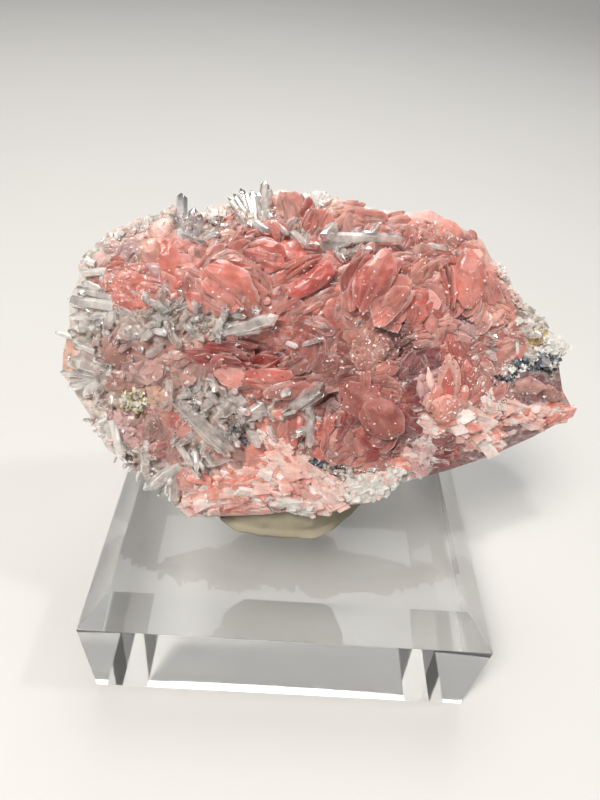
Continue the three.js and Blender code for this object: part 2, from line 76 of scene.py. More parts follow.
# Hollows and swells of the face: u, v, radius, height.
SWELLS = [
    (-9.5, 30, 4, 1.2), (7.3, 31, 3.5, 1.4), (17, 33, 3.5, 1), (9.3, 16.3, 4, 0.8),
    (17, 18, 2.5, 1.2), (-5, 5, 5, 0.8), (-21, 28, 5, 0.7),
    (-6, 22.3, 2.5, -1.8), (11, 24, 2.5, -1.5), (3, 17.5, 2, -1.4), (13, 18.5, 2, -1.2),
    (-13, 14.5, 3, -1), (17.5, 28.5, 2, -1.4), (2, 35, 2.5, -1.2),
]


def srgb(red, green, blue):
    """A colour given as 0 to 255 on screen, as the linear numbers that shaders take."""
    return tuple(((c / 255 + 0.055) / 1.055) ** 2.4 for c in (red, green, blue))


# Dusk, plum, deep and mauve are partly the crystals' own dark colours and partly painted shade: darkened
# for the hollows, the dimmer lower middle, the smooth lens and the rock's lower right.
TINTS = {
    "coral": srgb(204, 106, 94),
    "deep": srgb(156, 62, 55),
    "crimson": srgb(192, 88, 78),
    "dull": srgb(178, 140, 134),
    "dusk": srgb(176, 98, 88),
    "bright": srgb(222, 130, 116),
    "salmon": srgb(224, 146, 130),
    "pale": srgb(236, 178, 162),
    "rose": srgb(204, 126, 114),
    "sugar": srgb(184, 120, 106),
    "plum": srgb(132, 68, 68),
    "brown": srgb(152, 88, 78),
    "lilac": srgb(208, 166, 164),
    "blush": srgb(244, 200, 190),
    "milk": srgb(234, 228, 220),
    "smoke": srgb(206, 194, 186),
    "ink": srgb(74, 78, 88),
    "brass": srgb(208, 198, 156),
    "rust": srgb(132, 96, 68),
    "amber": srgb(222, 174, 154),
    "moss": srgb(158, 150, 132),
    "pearl": srgb(242, 190, 178),
    "frost": srgb(255, 232, 226),
    "steel": srgb(140, 148, 160),
    "haze": srgb(184, 184, 190),
    "mauve": srgb(138, 92, 92),
    "tan": srgb(180, 128, 116),
    "ash": srgb(186, 134, 126),
    "honey": srgb(222, 192, 134),
}
# Several tints that lie mixed together, grain by grain.
MIXES = {
    "sulfide": ("ink", "ink", "ink", "steel", "steel", "milk"),
    "brassy": ("brass", "moss", "milk", "milk", "brass", "rust"),
    "plates": ("pearl", "pearl", "salmon", "blush", "frost"),
    "edge": ("milk", "milk", "blush", "smoke"),
    "glassy": ("smoke", "milk", "milk", "blush"),
    "chalk": ("milk", "milk", "milk", "blush"),
    "earthy": ("moss", "smoke", "smoke", "milk"),
}


def pick_tint(rng, name):
    """A tint by name, or one of the tints of a mix."""
    return TINTS[rng.choice(MIXES[name])] if name in MIXES else TINTS[name]


def relief(u, v):
    """Depth of the face's broad shape."""
    across = ((u - ROCK_CENTRE[0]) / DOME_ACROSS) ** 2
    rise = v - ROCK_CENTRE[1]
    along = (rise / np.where(rise > 0, DOME_UP, DOME_DOWN)) ** 2
    depth = 1 - DOME_DROP * (across + along) ** 2
    for swell_u, swell_v, radius, height in SWELLS:
        away = ((u - swell_u) ** 2 + (v - swell_v) ** 2) / radius ** 2
        depth = depth + height * np.exp(-away)
    return depth


def placed(u, v, depth):
    """A face place carried to its depth on the flare of the rock's sides."""
    spread = -depth / FLARE_LENGTH
    return np.array((u + (u - FLARE_CENTRE[0]) * spread, v + (v - FLARE_CENTRE[1]) * spread, depth))


def seated(u, v, height):
    """A place at a height above the face's broad shape."""
    return placed(u, v, float(relief(u, v)) + height)


def along_across(east, north, turn):
    """An offset as seen along and across a direction that is turned by so many degrees."""
    angle = math.radians(turn)
    return (east * math.cos(angle) + north * math.sin(angle),
            north * math.cos(angle) - east * math.sin(angle))


def swung(along, across, turn):
    """The offset to the right and upwards of a step along and across a turned direction."""
    angle = math.radians(turn)
    return (along * math.cos(angle) - across * math.sin(angle),
            along * math.sin(angle) + across * math.cos(angle))


# ---------------------------------------------------------------- the face and its zones

# Outline of the rock on its face: u, v.
OUTLINE = np.array([
    (-29.0, 18.6), (-28.8, 21.0), (-27.9, 24.5), (-27.8, 27.5), (-26.7, 29.9), (-24.8, 33.6),
    (-20.4, 35.9), (-16.8, 38.1), (-13.3, 38.1), (-10.1, 39.3), (-8.0, 39.9), (-4.3, 41.2),
    (-2.0, 40.6), (-0.5, 41.0), (3.6, 40.2), (7.0, 39.9), (10.0, 39.9), (12.1, 40.4),
    (14.4, 39.3), (16.2, 38.6), (18.4, 37.6), (19.7, 35.8), (22.2, 33.7), (24.1, 30.9),
    (27.7, 28.2), (30.4, 26.9), (29.9, 24.3), (31.1, 21.0), (32.6, 19.0), (32.0, 17.2),
    (28.7, 14.8), (23.7, 11.8), (18.9, 9.6), (13.1, 7.4), (8.7, 4.2), (2.0, 2.9), (-4.1, 1.7),
    (-11.5, 0.9), (-14.3, 2.1), (-16.4, 3.8), (-19.3, 5.6), (-22.1, 7.9), (-24.1, 9.7),
    (-25.8, 13.4), (-28.0, 17.0),
])

# What grows where: u, v, reach along, reach across, turn of the long side, kind, tint.
# Plum zones lie in the hollows and dusk zones in the dimmer lower middle; their dark tints are painted
# shade there.
ZONES = [
    (-25.6, 31.6, 1.8, 1.2, 60, "milky", "edge"), (-23.0, 34.5, 2.3, 1.3, 38, "milky", "edge"),
    (-19.8, 36.3, 2.2, 1.1, 28, "milky", "edge"), (-17.0, 37.8, 1.8, 0.9, 30, "milky", "edge"),
    (-18.3, 34.2, 2.3, 2.2, 0, "petal", "pale"), (-21.3, 33.0, 1.8, 1.8, 0, "petal", "blush"),
    (-16.5, 32.5, 1.6, 2.4, 0, "petal", "coral"), (-21.3, 29.3, 3.0, 2.1, 0, "petal", "bright"),
    (-17.0, 29.9, 3.0, 1.5, -10, "petal", "rose"), (-25.4, 27.2, 2.9, 2.0, 0, "quartz", "milk"),
    (-26.6, 30.2, 1.4, 1.1, 0, "quartz", "milk"), (-24.2, 24.4, 3.0, 2.0, 0, "quartz", "milk"),
    (-16.5, 26.8, 4.2, 2.0, 0, "quartz", "smoke"), (-20.0, 24.0, 4.0, 1.7, -10, "quartz", "smoke"),
    (-13.6, 36.6, 2.0, 1.8, 0, "quartz", "smoke"), (-11.4, 36.2, 1.7, 1.3, 0, "quartz", "moss"),
    (-12.8, 31.8, 2.3, 2.6, 0, "petal", "rose"), (-11.6, 38.5, 2.2, 0.8, 20, "milky", "milk"),
    (-7.2, 38.6, 3.0, 2.4, 0, "milky", "pale"), (-9.8, 30.0, 4.0, 3.0, -25, "petal", "bright"),
    (-6.0, 34.3, 4.0, 2.6, 0, "petal", "coral"), (-10.2, 34.2, 3.0, 2.6, 0, "petal", "rose"),
    (-2.6, 39.4, 2.3, 2.4, 0, "petal", "salmon"), (-0.3, 41.0, 1.7, 0.7, 0, "milky", "milk"),
    (1.0, 38.8, 1.4, 2.0, 0, "petal", "salmon"), (4.2, 38.9, 3.0, 2.0, 0, "petal", "salmon"),
    (8.8, 38.5, 2.6, 1.7, 0, "petal", "rose"), (-2.0, 36.3, 2.3, 1.2, -30, "quartz", "smoke"),
    (1.2, 36.4, 2.0, 1.5, 0, "quartz", "milk"), (4.6, 35.2, 3.0, 1.0, 0, "quartz", "smoke"),
    (-1.0, 32.4, 4.2, 2.6, 40, "petal", "coral"), (-3.4, 28.8, 3.6, 1.6, 0, "petal", "coral"),
    (2.6, 29.0, 3.0, 2.4, 0, "petal", "rose"), (7.3, 31.0, 3.4, 4.0, 0, "petal", "coral"),
    (9.1, 26.8, 1.1, 0.6, 0, "milky", "smoke"), (-8.4, 26.8, 2.0, 1.3, 0, "quartz", "moss"),
    (-11.8, 25.0, 2.4, 2.0, 0, "quartz", "smoke"), (-5.0, 24.6, 5.0, 1.8, 0, "petal", "dusk"),
    (0.5, 25.6, 3.0, 2.2, 0, "petal", "dusk"), (7.0, 24.6, 2.8, 3.4, 0, "petal", "sugar"),
    (2.8, 22.4, 3.0, 3.0, 0, "petal", "brown"), (-12.5, 21.9, 3.2, 2.0, -8, "petal", "tan"),
    (12.4, 39.0, 3.0, 1.6, 0, "petal", "salmon"), (11.4, 36.6, 2.4, 1.8, 0, "petal", "rose"),
    (15.0, 37.2, 2.0, 1.6, 0, "petal", "salmon"), (17.6, 36.0, 2.0, 1.9, 0, "petal", "salmon"),
    (17.4, 33.0, 2.7, 3.2, 0, "petal", "bright"), (21.2, 34.3, 1.5, 0.7, -45, "milky", "milk"),
    (23.3, 31.6, 1.6, 0.7, -50, "milky", "milk"), (20.9, 31.2, 2.0, 1.9, 0, "petal", "rose"),
    (12.6, 33.0, 2.1, 2.3, 0, "petal", "salmon"), (12.0, 29.6, 2.0, 2.3, 0, "petal", "coral"),
    (15.2, 30.8, 1.5, 2.6, 0, "petal", "coral"), (16.8, 28.2, 1.6, 0.9, 0, "quartz", "moss"),
    (20.6, 29.4, 3.0, 1.2, -12, "petal", "salmon"), (18.7, 27.2, 1.6, 1.0, 0, "quartz", "smoke"),
    (20.2, 26.2, 1.4, 0.9, 0, "quartz", "milk"), (22.7, 27.4, 1.9, 1.7, 0, "petal", "rose"),
    (25.6, 28.4, 1.9, 1.2, -30, "quartz", "moss"), (26.4, 27.2, 0.8, 0.7, 0, "milky", "honey"),
    (28.8, 26.6, 2.0, 0.9, -15, "milky", "milk"), (29.2, 24.5, 1.3, 1.3, 0, "ore", "sulfide"),
    (26.4, 23.7, 1.7, 0.8, 10, "ore", "sulfide"), (26.9, 25.4, 1.7, 0.8, 0, "quartz", "milk"),
    (23.7, 21.9, 1.6, 0.8, 20, "ore", "sulfide"), (22.4, 23.8, 1.4, 0.8, 0, "milky", "milk"),
    (23.6, 26.0, 0.9, 1.0, 0, "petal", "salmon"), (29.0, 22.7, 1.1, 0.6, 0, "ore", "moss"),
    (27.2, 21.0, 3.4, 1.6, 0, "rock", "mauve"), (20.9, 23.4, 1.9, 2.2, 0, "petal", "rose"),
    (18.3, 23.0, 2.3, 2.5, 0, "petal", "dusk"), (13.5, 23.2, 2.2, 2.2, 0, "petal", "plum"),
    (11.0, 24.6, 1.3, 1.8, 0, "petal", "plum"), (14.6, 26.4, 3.0, 1.4, 0, "petal", "rose"),
    (-28.3, 20.7, 1.2, 1.9, 0, "petal", "amber"), (-25.0, 20.1, 2.9, 1.5, 0, "quartz", "milk"),
    (-22.3, 21.5, 1.8, 1.5, 0, "petal", "tan"), (-18.8, 21.8, 2.6, 1.7, 0, "petal", "ash"),
    (-26.3, 17.2, 2.6, 1.6, 0, "quartz", "milk"), (-27.4, 23.4, 1.5, 1.8, 0, "quartz", "milk"),
    (-23.8, 16.4, 1.7, 1.5, 0, "quartz", "smoke"), (-22.4, 18.0, 1.6, 0.9, 0, "petal", "tan"),
    (-20.3, 15.8, 2.0, 1.5, 10, "ore", "brassy"), (-19.4, 13.9, 1.4, 0.6, 0, "ore", "rust"),
    (-17.6, 16.5, 1.1, 1.3, 0, "petal", "amber"), (-19.4, 18.9, 1.6, 1.4, 0, "petal", "ash"),
    (-16.2, 20.2, 2.4, 1.5, 0, "petal", "tan"), (-13.3, 17.9, 1.8, 1.2, 0, "quartz", "smoke"),
    (-14.0, 15.8, 2.0, 1.3, 0, "quartz", "milk"), (-9.8, 15.6, 1.9, 2.4, 0, "quartz", "smoke"),
    (-11.0, 19.0, 2.4, 1.3, 0, "quartz", "smoke"), (-12.0, 12.4, 2.8, 2.2, 0, "quartz", "smoke"),
    (-24.8, 12.8, 1.9, 2.6, 20, "quartz", "milk"), (-23.0, 9.4, 1.3, 1.9, 30, "quartz", "milk"),
    (-20.6, 9.4, 1.8, 2.0, 0, "quartz", "smoke"), (-18.3, 12.6, 2.0, 1.6, 0, "petal", "ash"),
    (-20.9, 12.6, 1.5, 1.3, 0, "petal", "lilac"), (-14.2, 13.2, 1.8, 1.1, -30, "petal", "rose"),
    (-16.8, 9.9, 2.0, 1.6, 0, "petal", "ash"), (-18.0, 6.4, 2.3, 2.3, 0, "quartz", "smoke"),
    (-13.8, 7.5, 2.0, 1.5, 0, "quartz", "smoke"), (-12.4, 5.8, 2.3, 1.0, -8, "petal", "salmon"),
    (-15.6, 3.8, 1.5, 2.0, 0, "quartz", "smoke"), (-11.6, 8.6, 2.2, 1.3, 0, "quartz", "smoke"),
    (-4.6, 20.0, 4.0, 2.4, 0, "petal", "dusk"), (-6.2, 22.5, 3.0, 1.1, 0, "petal", "plum"),
    (-8.8, 21.2, 2.4, 1.7, 0, "petal", "coral"), (-1.0, 17.6, 2.4, 1.9, 0, "petal", "brown"),
    (0.6, 20.6, 2.4, 2.1, 0, "petal", "brown"), (3.4, 17.6, 2.0, 2.0, 0, "petal", "plum"),
    (5.6, 18.4, 1.8, 1.4, 0, "petal", "dusk"), (9.0, 16.4, 4.0, 2.9, 0, "petal", "deep"),
    (8.6, 20.6, 3.0, 1.7, 0, "petal", "dusk"), (13.0, 18.6, 1.8, 2.2, 0, "petal", "plum"),
    (-5.4, 15.4, 2.5, 1.8, 0, "quartz", "smoke"), (-8.1, 13.0, 1.2, 0.9, 0, "ore", "sulfide"),
    (-7.1, 11.5, 0.9, 0.8, 0, "ore", "sulfide"), (-3.2, 13.2, 2.4, 1.9, 0, "petal", "salmon"),
    (0.8, 13.2, 1.1, 3.0, 0, "quartz", "smoke"), (3.4, 13.4, 1.6, 3.0, 0, "petal", "coral"),
    (6.6, 12.2, 2.0, 2.4, 0, "petal", "dusk"), (9.6, 12.2, 2.4, 1.5, 0, "petal", "deep"),
    (-5.8, 10.0, 2.6, 1.3, 0, "petal", "salmon"), (-8.6, 9.4, 1.8, 1.2, 0, "petal", "ash"),
    (-2.9, 10.1, 0.6, 0.6, 0, "ore", "sulfide"), (-6.4, 5.6, 4.0, 2.6, 0, "cleave", "pearl"),
    (-11.0, 3.0, 3.4, 1.7, 5, "cleave", "pearl"), (-2.0, 7.6, 2.8, 2.4, -35, "cleave", "pearl"),
    (2.2, 6.4, 3.4, 2.2, -35, "cleave", "pearl"), (5.0, 3.9, 2.5, 1.3, -20, "cleave", "blush"),
    (-1.5, 3.4, 2.8, 1.0, -8, "milky", "lilac"), (1.9, 9.5, 1.1, 0.7, 0, "ore", "sulfide"),
    (4.3, 9.4, 1.7, 1.2, 0, "milky", "smoke"), (9.0, 6.6, 3.9, 2.0, 18, "milky", "milk"),
    (12.0, 8.4, 1.8, 1.2, 20, "milky", "milk"), (12.0, 10.8, 2.0, 1.8, 0, "cleave", "salmon"),
    (17.0, 18.8, 2.2, 3.4, 0, "petal", "salmon"), (14.2, 20.5, 1.2, 2.0, 0, "petal", "lilac"),
    (16.0, 15.3, 2.0, 1.1, -30, "cleave", "lilac"), (20.3, 15.9, 3.6, 2.6, -32, "cleave", "pearl"),
    (23.8, 18.0, 1.8, 1.5, 0, "milky", "milk"), (27.6, 17.5, 3.0, 1.1, 8, "cleave", "blush"),
    (24.5, 18.2, 0.6, 0.6, 0, "ore", "sulfide"), (27.0, 19.2, 2.4, 0.5, 0, "ore", "sulfide"),
    (31.0, 18.0, 1.5, 1.3, 0, "petal", "salmon"), (25.4, 13.9, 5.4, 1.0, 24, "rock", "mauve"),
    (17.7, 11.2, 2.0, 1.5, 0, "petal", "plum"), (15.2, 11.6, 1.5, 2.8, -10, "cleave", "lilac"),
    (13.2, 15.0, 1.4, 1.4, 0, "petal", "plum"), (20.6, 20.3, 2.0, 1.9, 0, "petal", "rose"),
    (23.6, 20.2, 1.6, 1.6, 0, "petal", "rose"),
]


def polar_edge(corners, centre, parts):
    """Bearings, in order, and distances of a closed outline as seen from a centre."""
    share = np.linspace(0, 1, parts, endpoint=False)[None, :, None]
    ends = np.roll(corners, -1, axis=0)
    edge = (corners[:, None] * (1 - share) + ends[:, None] * share).reshape(-1, 2) - centre
    bearing = np.arctan2(edge[:, 1], edge[:, 0])
    order = np.argsort(bearing)
    return bearing[order], np.hypot(edge[:, 0], edge[:, 1])[order]


OUTLINE_EDGE = polar_edge(OUTLINE, ROCK_CENTRE, 12)


def outline_reach(angle):
    """Distance from the rock's centre to its outline along an angle in the face."""
    return np.interp(angle, *OUTLINE_EDGE, period=FULL_TURN)


def inside_outline(u, v, margin):
    """Whether a face place is at least a margin inside the outline."""
    east, north = u - ROCK_CENTRE[0], v - ROCK_CENTRE[1]
    return math.hypot(east, north) < outline_reach(math.atan2(north, east)) - margin


def places_inside(rng, margin, low=(-29, 1), high=(32, 41)):
    """Endless random face places, each at least a margin inside the outline."""
    while True:
        u, v = rng.uniform(low[0], high[0]), rng.uniform(low[1], high[1])
        if inside_outline(u, v, margin):
            yield u, v


def zone_of(u, v):
    """Index of the zone that each face place belongs to."""
    best = np.full(np.shape(u), np.inf)
    owner = np.zeros(np.shape(u), int)
    for index, (zone_u, zone_v, reach_u, reach_v, turn, _, _) in enumerate(ZONES):
        along, across = along_across(u - zone_u, v - zone_v, turn)
        away = (along / reach_u) ** 2 + (across / reach_v) ** 2
        nearer = away < best
        best = np.where(nearer, away, best)
        owner = np.where(nearer, index, owner)
    return owner


def ground_at(u, v):
    """Kind and tint of the zone at one face place."""
    return ZONES[int(zone_of(u, v))][-2:]


# How each kind of ground looks: metallic, clear, pearly.
FINISHES = {
    "petal": (0, 0.35, 0.2), "quartz": (0, 0.9, 0), "milky": (0, 0.25, 0),
    "cleave": (0, 0.1, 1), "ore": (0.6, 0, 0), "grit": (0.15, 0.2, 0), "rock": (0, 0.2, 0.15),
}
# How crowded the pressed crystals are in each kind of ground, and their least and greatest length.
CROWDS = {
    "petal": (0.55, 1.4, 3.6), "quartz": (1.0, 0.5, 1.5), "milky": (1.0, 0.35, 0.95),
    "cleave": (1.0, 0.8, 2.6), "ore": (1.0, 0.25, 0.6), "rock": (1.0, 0.6, 2.4),
}


class Face:
    """A height map of the rock's face, into which crystals are pressed one over another."""

    STEP = 0.125              # from one place of the map to the next
    LOW = (-31.5, -1.5)
    HIGH = (35.0, 44.0)
    BARE_HEIGHT = -1.2        # ground into which nothing is pressed lies deeper, and its colour is darkened as painted shade in the gaps between crystals
    BARE_PAINTED_SHADE = 0.72
    PETAL_DOME = 0.12         # rise of a petal's middle, as a share of its width
    GRAIN_TOP = 0.55          # reach of a grain's flat top, and of the whole grain, as shares of its size
    GRAIN_EDGE = 1.1

    def __init__(self):
        axes = [np.arange(low, high, self.STEP) for low, high in zip(self.LOW, self.HIGH)]
        self.u, self.v = np.meshgrid(*axes, indexing="ij")
        self.height = np.full(self.u.shape, self.BARE_HEIGHT)
        self.rim = np.zeros(self.u.shape)
        owner = zone_of(self.u, self.v)
        tints = np.array([TINTS[MIXES.get(tint, (tint,))[0]] for *_, tint in ZONES])
        # The bare ground's colour starts darkened: painted shade between the pressed crystals.
        self.tint = tints[owner] * self.BARE_PAINTED_SHADE
        self.finish = np.array([FINISHES[kind] for *_, kind, _ in ZONES])[owner]

    def window(self, u, v, reach):
        """The part of the map within reach of a place."""
        spans = []
        for centre, low, size in zip((u, v), self.LOW, self.u.shape):
            first = max(0, int((centre - reach - low) / self.STEP))
            last = min(size, int((centre + reach - low) / self.STEP) + 2)
            spans.append(slice(first, last))
        return tuple(spans)

    def lay(self, span, inside, height, tint, rim, finish):
        """Keep the pressed shape wherever it stands above what is there."""
        above = inside & (height > self.height[span])
        self.height[span][above] = height[above]
        self.rim[span][above] = rim[above]
        self.tint[span][above] = tint
        self.finish[span][above] = finish

    def petal(self, u, v, top, length, width, turn, tilt, tint, finish, taper):
        """A thin pointed lens lying in the face, tilted so that one side stands out."""
        span = self.window(u, v, length / 2)
        along, across = along_across(self.u[span] - u, self.v[span] - v, turn)
        x, y = along * 2 / length, across * 2 / width
        margin = np.clip(1 - x * x, 0, 1) ** (taper / 2) - np.abs(y)
        dome = self.PETAL_DOME * width * (1 - x * x - y * y)
        height = top + dome + tilt[0] * along + tilt[1] * across
        self.lay(span, margin > 0, height, tint, np.clip(1 - margin * 3.5, 0, 1), finish)

    def grain(self, u, v, top, length, width, turn, tilt, tint, finish, corners, slope):
        """A blunt faceted grain with a tilted flat top and steep sides."""
        span = self.window(u, v, 0.8 * length)
        along, across = along_across(self.u[span] - u, self.v[span] - v, turn)
        x, y = along * 2 / length, across * 2 / width
        edge = np.max([x * math.cos(corner) + y * math.sin(corner) for corner in corners], axis=0)
        fall = slope * width * np.clip(edge - self.GRAIN_TOP, 0, 9)
        height = top + tilt[0] * along + tilt[1] * across - fall
        self.lay(span, edge < self.GRAIN_EDGE, height, tint, np.clip((edge - 0.2) * 2, 0, 1), finish)

    def at(self, u, v):
        """Height, rim, tint and finish of the face map at places on the face."""
        east = np.clip((u - self.LOW[0]) / self.STEP, 0, self.u.shape[0] - 2)
        north = np.clip((v - self.LOW[1]) / self.STEP, 0, self.u.shape[1] - 2)
        i, j = east.astype(int), north.astype(int)
        s, t = east - i, north - j
        height = ((self.height[i, j] * (1 - s) + self.height[i + 1, j] * s) * (1 - t)
                  + (self.height[i, j + 1] * (1 - s) + self.height[i + 1, j + 1] * s) * t)
        i, j = np.rint(east).astype(int), np.rint(north).astype(int)
        return height, self.rim[i, j], self.tint[i, j], self.finish[i, j]


PRESSED = 22000                           # crystals pressed into the face
BORDER_WAVER = 0.35                       # how ragged the borders between zones are
SWAY_SPAN = 14                            # petals closer together than this lie nearly the same way
QUARTZ_GROUND_SHADE_AND_TONE = (0.86, 0.76, 0.73)         # the ground between quartz prisms is darkened as painted shade between them, and is warmer in its own tone
SLIVER_CORNERS = (0.25, 1.75, 3.4, 4.9)


def corner_bearings(rng, sides, latest_start, spacing, spread):
    """Uneven bearings of a grain's sides."""
    start = rng.uniform(0, latest_start)
    return [start + side * spacing + rng.uniform(-spread, spread) for side in range(sides)]


def press_petal(face, rng, u, v, length, drift, tint):
    """A thin blade lying in the face: a pointed lens, or a flake broken on five sides."""
    width = length * rng.uniform(0.4, 0.75)
    turn = 150 * drift + rng.uniform(-45, 45)
    tilt = (rng.uniform(-0.08, 0.08), rng.uniform(0.05, 0.45) * rng.choice((-1, 1)))
    top = rng.uniform(-0.6, 0.1) - abs(tilt[1]) * width * 0.2
    # Petals that lie lower are painted darker: painted shade in the hollows between them.
    shape = (u, v, top, length, width, turn, tilt, tint * (1.0 + 0.5 * top), FINISHES["petal"])
    if rng.random() < 0.5:
        face.grain(*shape, corner_bearings(rng, 5, 2, 1.3, 0.3), 0.6)
    else:
        face.petal(*shape, rng.uniform(1, 1.8))


def press_grain(face, rng, u, v, length, zone_turn, tint, kind):
    """A sliver that lies as its zone does, or a six-sided crumb that lies any way."""
    if kind == "cleave":
        width = length * rng.uniform(0.25, 0.55)
        turn = zone_turn + rng.uniform(-9, 9)
        corners = SLIVER_CORNERS
        tilt = (rng.uniform(-0.1, 0.1), rng.uniform(-0.1, 0.3))
        slope = 1.6
    else:
        width = length * rng.uniform(0.45, 0.9)
        turn = rng.uniform(0, 180)
        corners = corner_bearings(rng, 6, 1, math.pi / 3, 0.2)
        tilt = (rng.uniform(-0.5, 0.5), rng.uniform(-0.5, 0.5))
        slope = 1.2
    top = rng.uniform(-0.7, 0.05)
    face.grain(u, v, top, length, width, turn, tilt, tint, FINISHES[kind], corners, slope)


def pressed_face():
    """The whole face map with its crowd of small pressed crystals."""
    rng = random.Random(11)
    face = Face()
    places = np.array([(rng.uniform(-31, 34), rng.uniform(-1, 43)) for _ in range(PRESSED)])
    waver = np.array([rng.gauss(0, BORDER_WAVER) for _ in range(PRESSED)])
    owners = zone_of(places[:, 0] + waver, places[:, 1] - waver)
    sway = ripple(np.column_stack((places, 0 * waver)), rng, SWAY_SPAN, 2)
    for (u, v), owner, drift in zip(places, owners, sway):
        zone_turn, kind, tint_name = ZONES[owner][-3:]
        crowd, least, most = CROWDS[kind]
        if rng.random() > crowd:
            continue
        length = rng.uniform(least, most) * rng.uniform(0.7, 1)
        tint = np.array(pick_tint(rng, tint_name)) * rng.uniform(0.78, 1.16)
        # Quartz ground: painted shade between the prisms, and a warmer tone of its own.
        if kind == "quartz":
            tint = tint * QUARTZ_GROUND_SHADE_AND_TONE
        if kind == "petal":
            press_petal(face, rng, u, v, length, drift, tint)
        else:
            press_grain(face, rng, u, v, length, zone_turn, tint, kind)
    return face


# ---------------------------------------------------------------- mesh gathering


class Heap:
    """Vertices, faces, tints and rims of many small shapes that become one piece."""

    def __init__(self):
        self.points = []
        self.tints = []
        self.rims = []
        self.finishes = []
        self.growths = []
        self.faces = {3: [], 4: []}
        self.count = 0

    def add(self, points, faces, tint, rim, finish=(0, 0, 0), growth=(0, 0, 0)):
        """faces is a list of index arrays; growth is distance from the root, bearing and a seed."""
        self.growths.append(np.broadcast_to(growth, (len(points), 3)))
        self.points.append(points)
        self.tints.append(np.broadcast_to(tint, (len(points), 3)))
        self.rims.append(np.broadcast_to(rim, len(points)))
        self.finishes.append(np.broadcast_to(finish, (len(points), 3)))
        for block in faces:
            self.faces[block.shape[1]].append(block + self.count)
        self.count += len(points)

    def joined_mesh(self, name, place):
        """One mesh of all the shapes, with its points carried by a matrix."""
        world = np.array(place)
        points = np.concatenate(self.points) @ world[:3, :3].T + world[:3, 3]
        mesh = bpy.data.meshes.new(name)
        mesh.vertices.add(len(points))
        mesh.vertices.foreach_set("co", points.astype(np.float32).ravel())
        loops, starts, start = [], [], 0
        for width in (3, 4):
            if self.faces[width]:
                block = np.concatenate(self.faces[width])
                loops.append(block.ravel())
                starts.append(start + width * np.arange(len(block)))
                start += block.size
        loops = np.concatenate(loops).astype(np.int32)
        starts = np.concatenate(starts).astype(np.int32)
        mesh.loops.add(len(loops))
        mesh.loops.foreach_set("vertex_index", loops)
        mesh.polygons.add(len(starts))
        mesh.polygons.foreach_set("loop_start", starts)
        mesh.update(calc_edges=True)
        mesh.validate()
        return mesh

    def piece(self, name, material, sharp, slot="rhodochrosite", stands_for=None, place=FACE):
        """The heap as one object on the one body; it may stand for a node of the CAD model."""
        mesh = self.joined_mesh(name, place)
        layers = (("Tint", self.tints), ("Finish", self.finishes), ("Growth", self.growths))
        for label, values in layers:
            colours = np.ones((self.count, 4), np.float32)
            colours[:, :3] = np.concatenate(values)
            layer = mesh.attributes.new(label, "FLOAT_COLOR", "POINT")
            layer.data.foreach_set("color", colours.ravel())
        rim = mesh.attributes.new("Rim", "FLOAT", "POINT")
        rim.data.foreach_set("value", np.concatenate(self.rims).astype(np.float32))
        mesh.shade_smooth()
        mesh.set_sharp_from_angle(angle=math.radians(sharp))
        mesh.materials.append(material)
        made = bpy.data.objects.new(name, mesh)
        bpy.context.scene.collection.objects.link(made)
        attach(made, "root")
        if stands_for:
            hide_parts(stands_for)


def turned(points, turn, pitch, roll):
    """Points rolled about their length, pitched out of the face and turned in it, in degrees."""
    spin = (Matrix.Rotation(math.radians(turn), 3, "Z")
            @ Matrix.Rotation(math.radians(-pitch), 3, "Y")
            @ Matrix.Rotation(math.radians(roll), 3, "X"))
    return points @ np.array(spin).T


def pointing(points, direction):
    """Points made along +X, swung round to a direction."""
    swing = Vector(direction).to_track_quat("X", "Z").to_matrix()
    return points @ np.array(swing).T


def ring_faces(rings, sides):
    """Faces, looking outwards, of a closed stack of rings between a first and a last point."""
    step = np.arange(sides)
    after = (step + 1) % sides
    faces = [np.stack((1 + step, 1 + after, np.zeros(sides, int)), axis=1)]
    index = 1
    for _ in range(rings - 1):
        below = index + sides
        faces.append(np.stack((below + step, below + after, index + after, index + step), axis=1))
        index = below
    faces.append(np.stack((np.full(sides, index + sides), index + after, index + step), axis=1))
    return faces


def ripple(points, rng, size, octaves=3):
    """Smooth repeatable noise from -1 to 1 at each point; size is the span of one wave."""
    total = np.zeros(len(points))
    reach = 0.0
    for octave in range(octaves):
        share = 0.55 ** octave
        for _ in range(3):
            way = np.array([rng.gauss(0, 1) for _ in range(3)])
            way *= 2.2 ** octave * 2.4 / size / np.linalg.norm(way)
            total += share * np.sin(points @ way + rng.uniform(0, PHASES))
        reach += share * 1.9
    return total / reach


# ---------------------------------------------------------------- crystal shapes

# Number of sides of a blade and its rings from the middle to the rim, for large and small ones.
FINE = (24, np.array((0.24, 0.44, 0.62, 0.77, 0.88, 0.95, 1.0)))
PLAIN = (12, np.array((0.5, 0.9, 1.0)))
UNDER_RINGS = np.array((0.86, 0.5))
UNDER_DEPTH = 0.75                        # heights are shares of a blade's thickness, from its rim
TOP_HEIGHT = 0.5
DOME_HEIGHT = 0.42
STEP_HEIGHT = 0.12
FOOT = 0.6                                # streaks fan out from this share of the length behind the middle
SUNK = 0.1                                # listed blades sit this much deeper than their rows say


def blade_outline(rng, sides, taper, streaked):
    """A pointed or round outline that reaches 1 each way, wavy and broken straight in places."""
    angles = np.arange(sides) * FULL_TURN / sides
    wobble = np.zeros(sides)
    for lobes in (1, 2, 3, 5, 7):
        wobble += rng.uniform(0.01, 0.06) * np.sin(lobes * angles + rng.uniform(0, PHASES))
    ragged = 1 + streaked * (wobble + 0.04 * np.array([rng.uniform(-1, 1) for _ in angles]))
    for _ in range(round(5 * streaked)):
        broken = rng.uniform(0.66, 1.0) / np.maximum(np.cos(angles - rng.uniform(0, PHASES)), 0.05)
        ragged = np.minimum(ragged, broken)
    narrowed = np.sin(angles) * np.abs(np.sin(angles)) ** (taper - 1)
    return angles, np.cos(angles) * ragged, narrowed * ragged


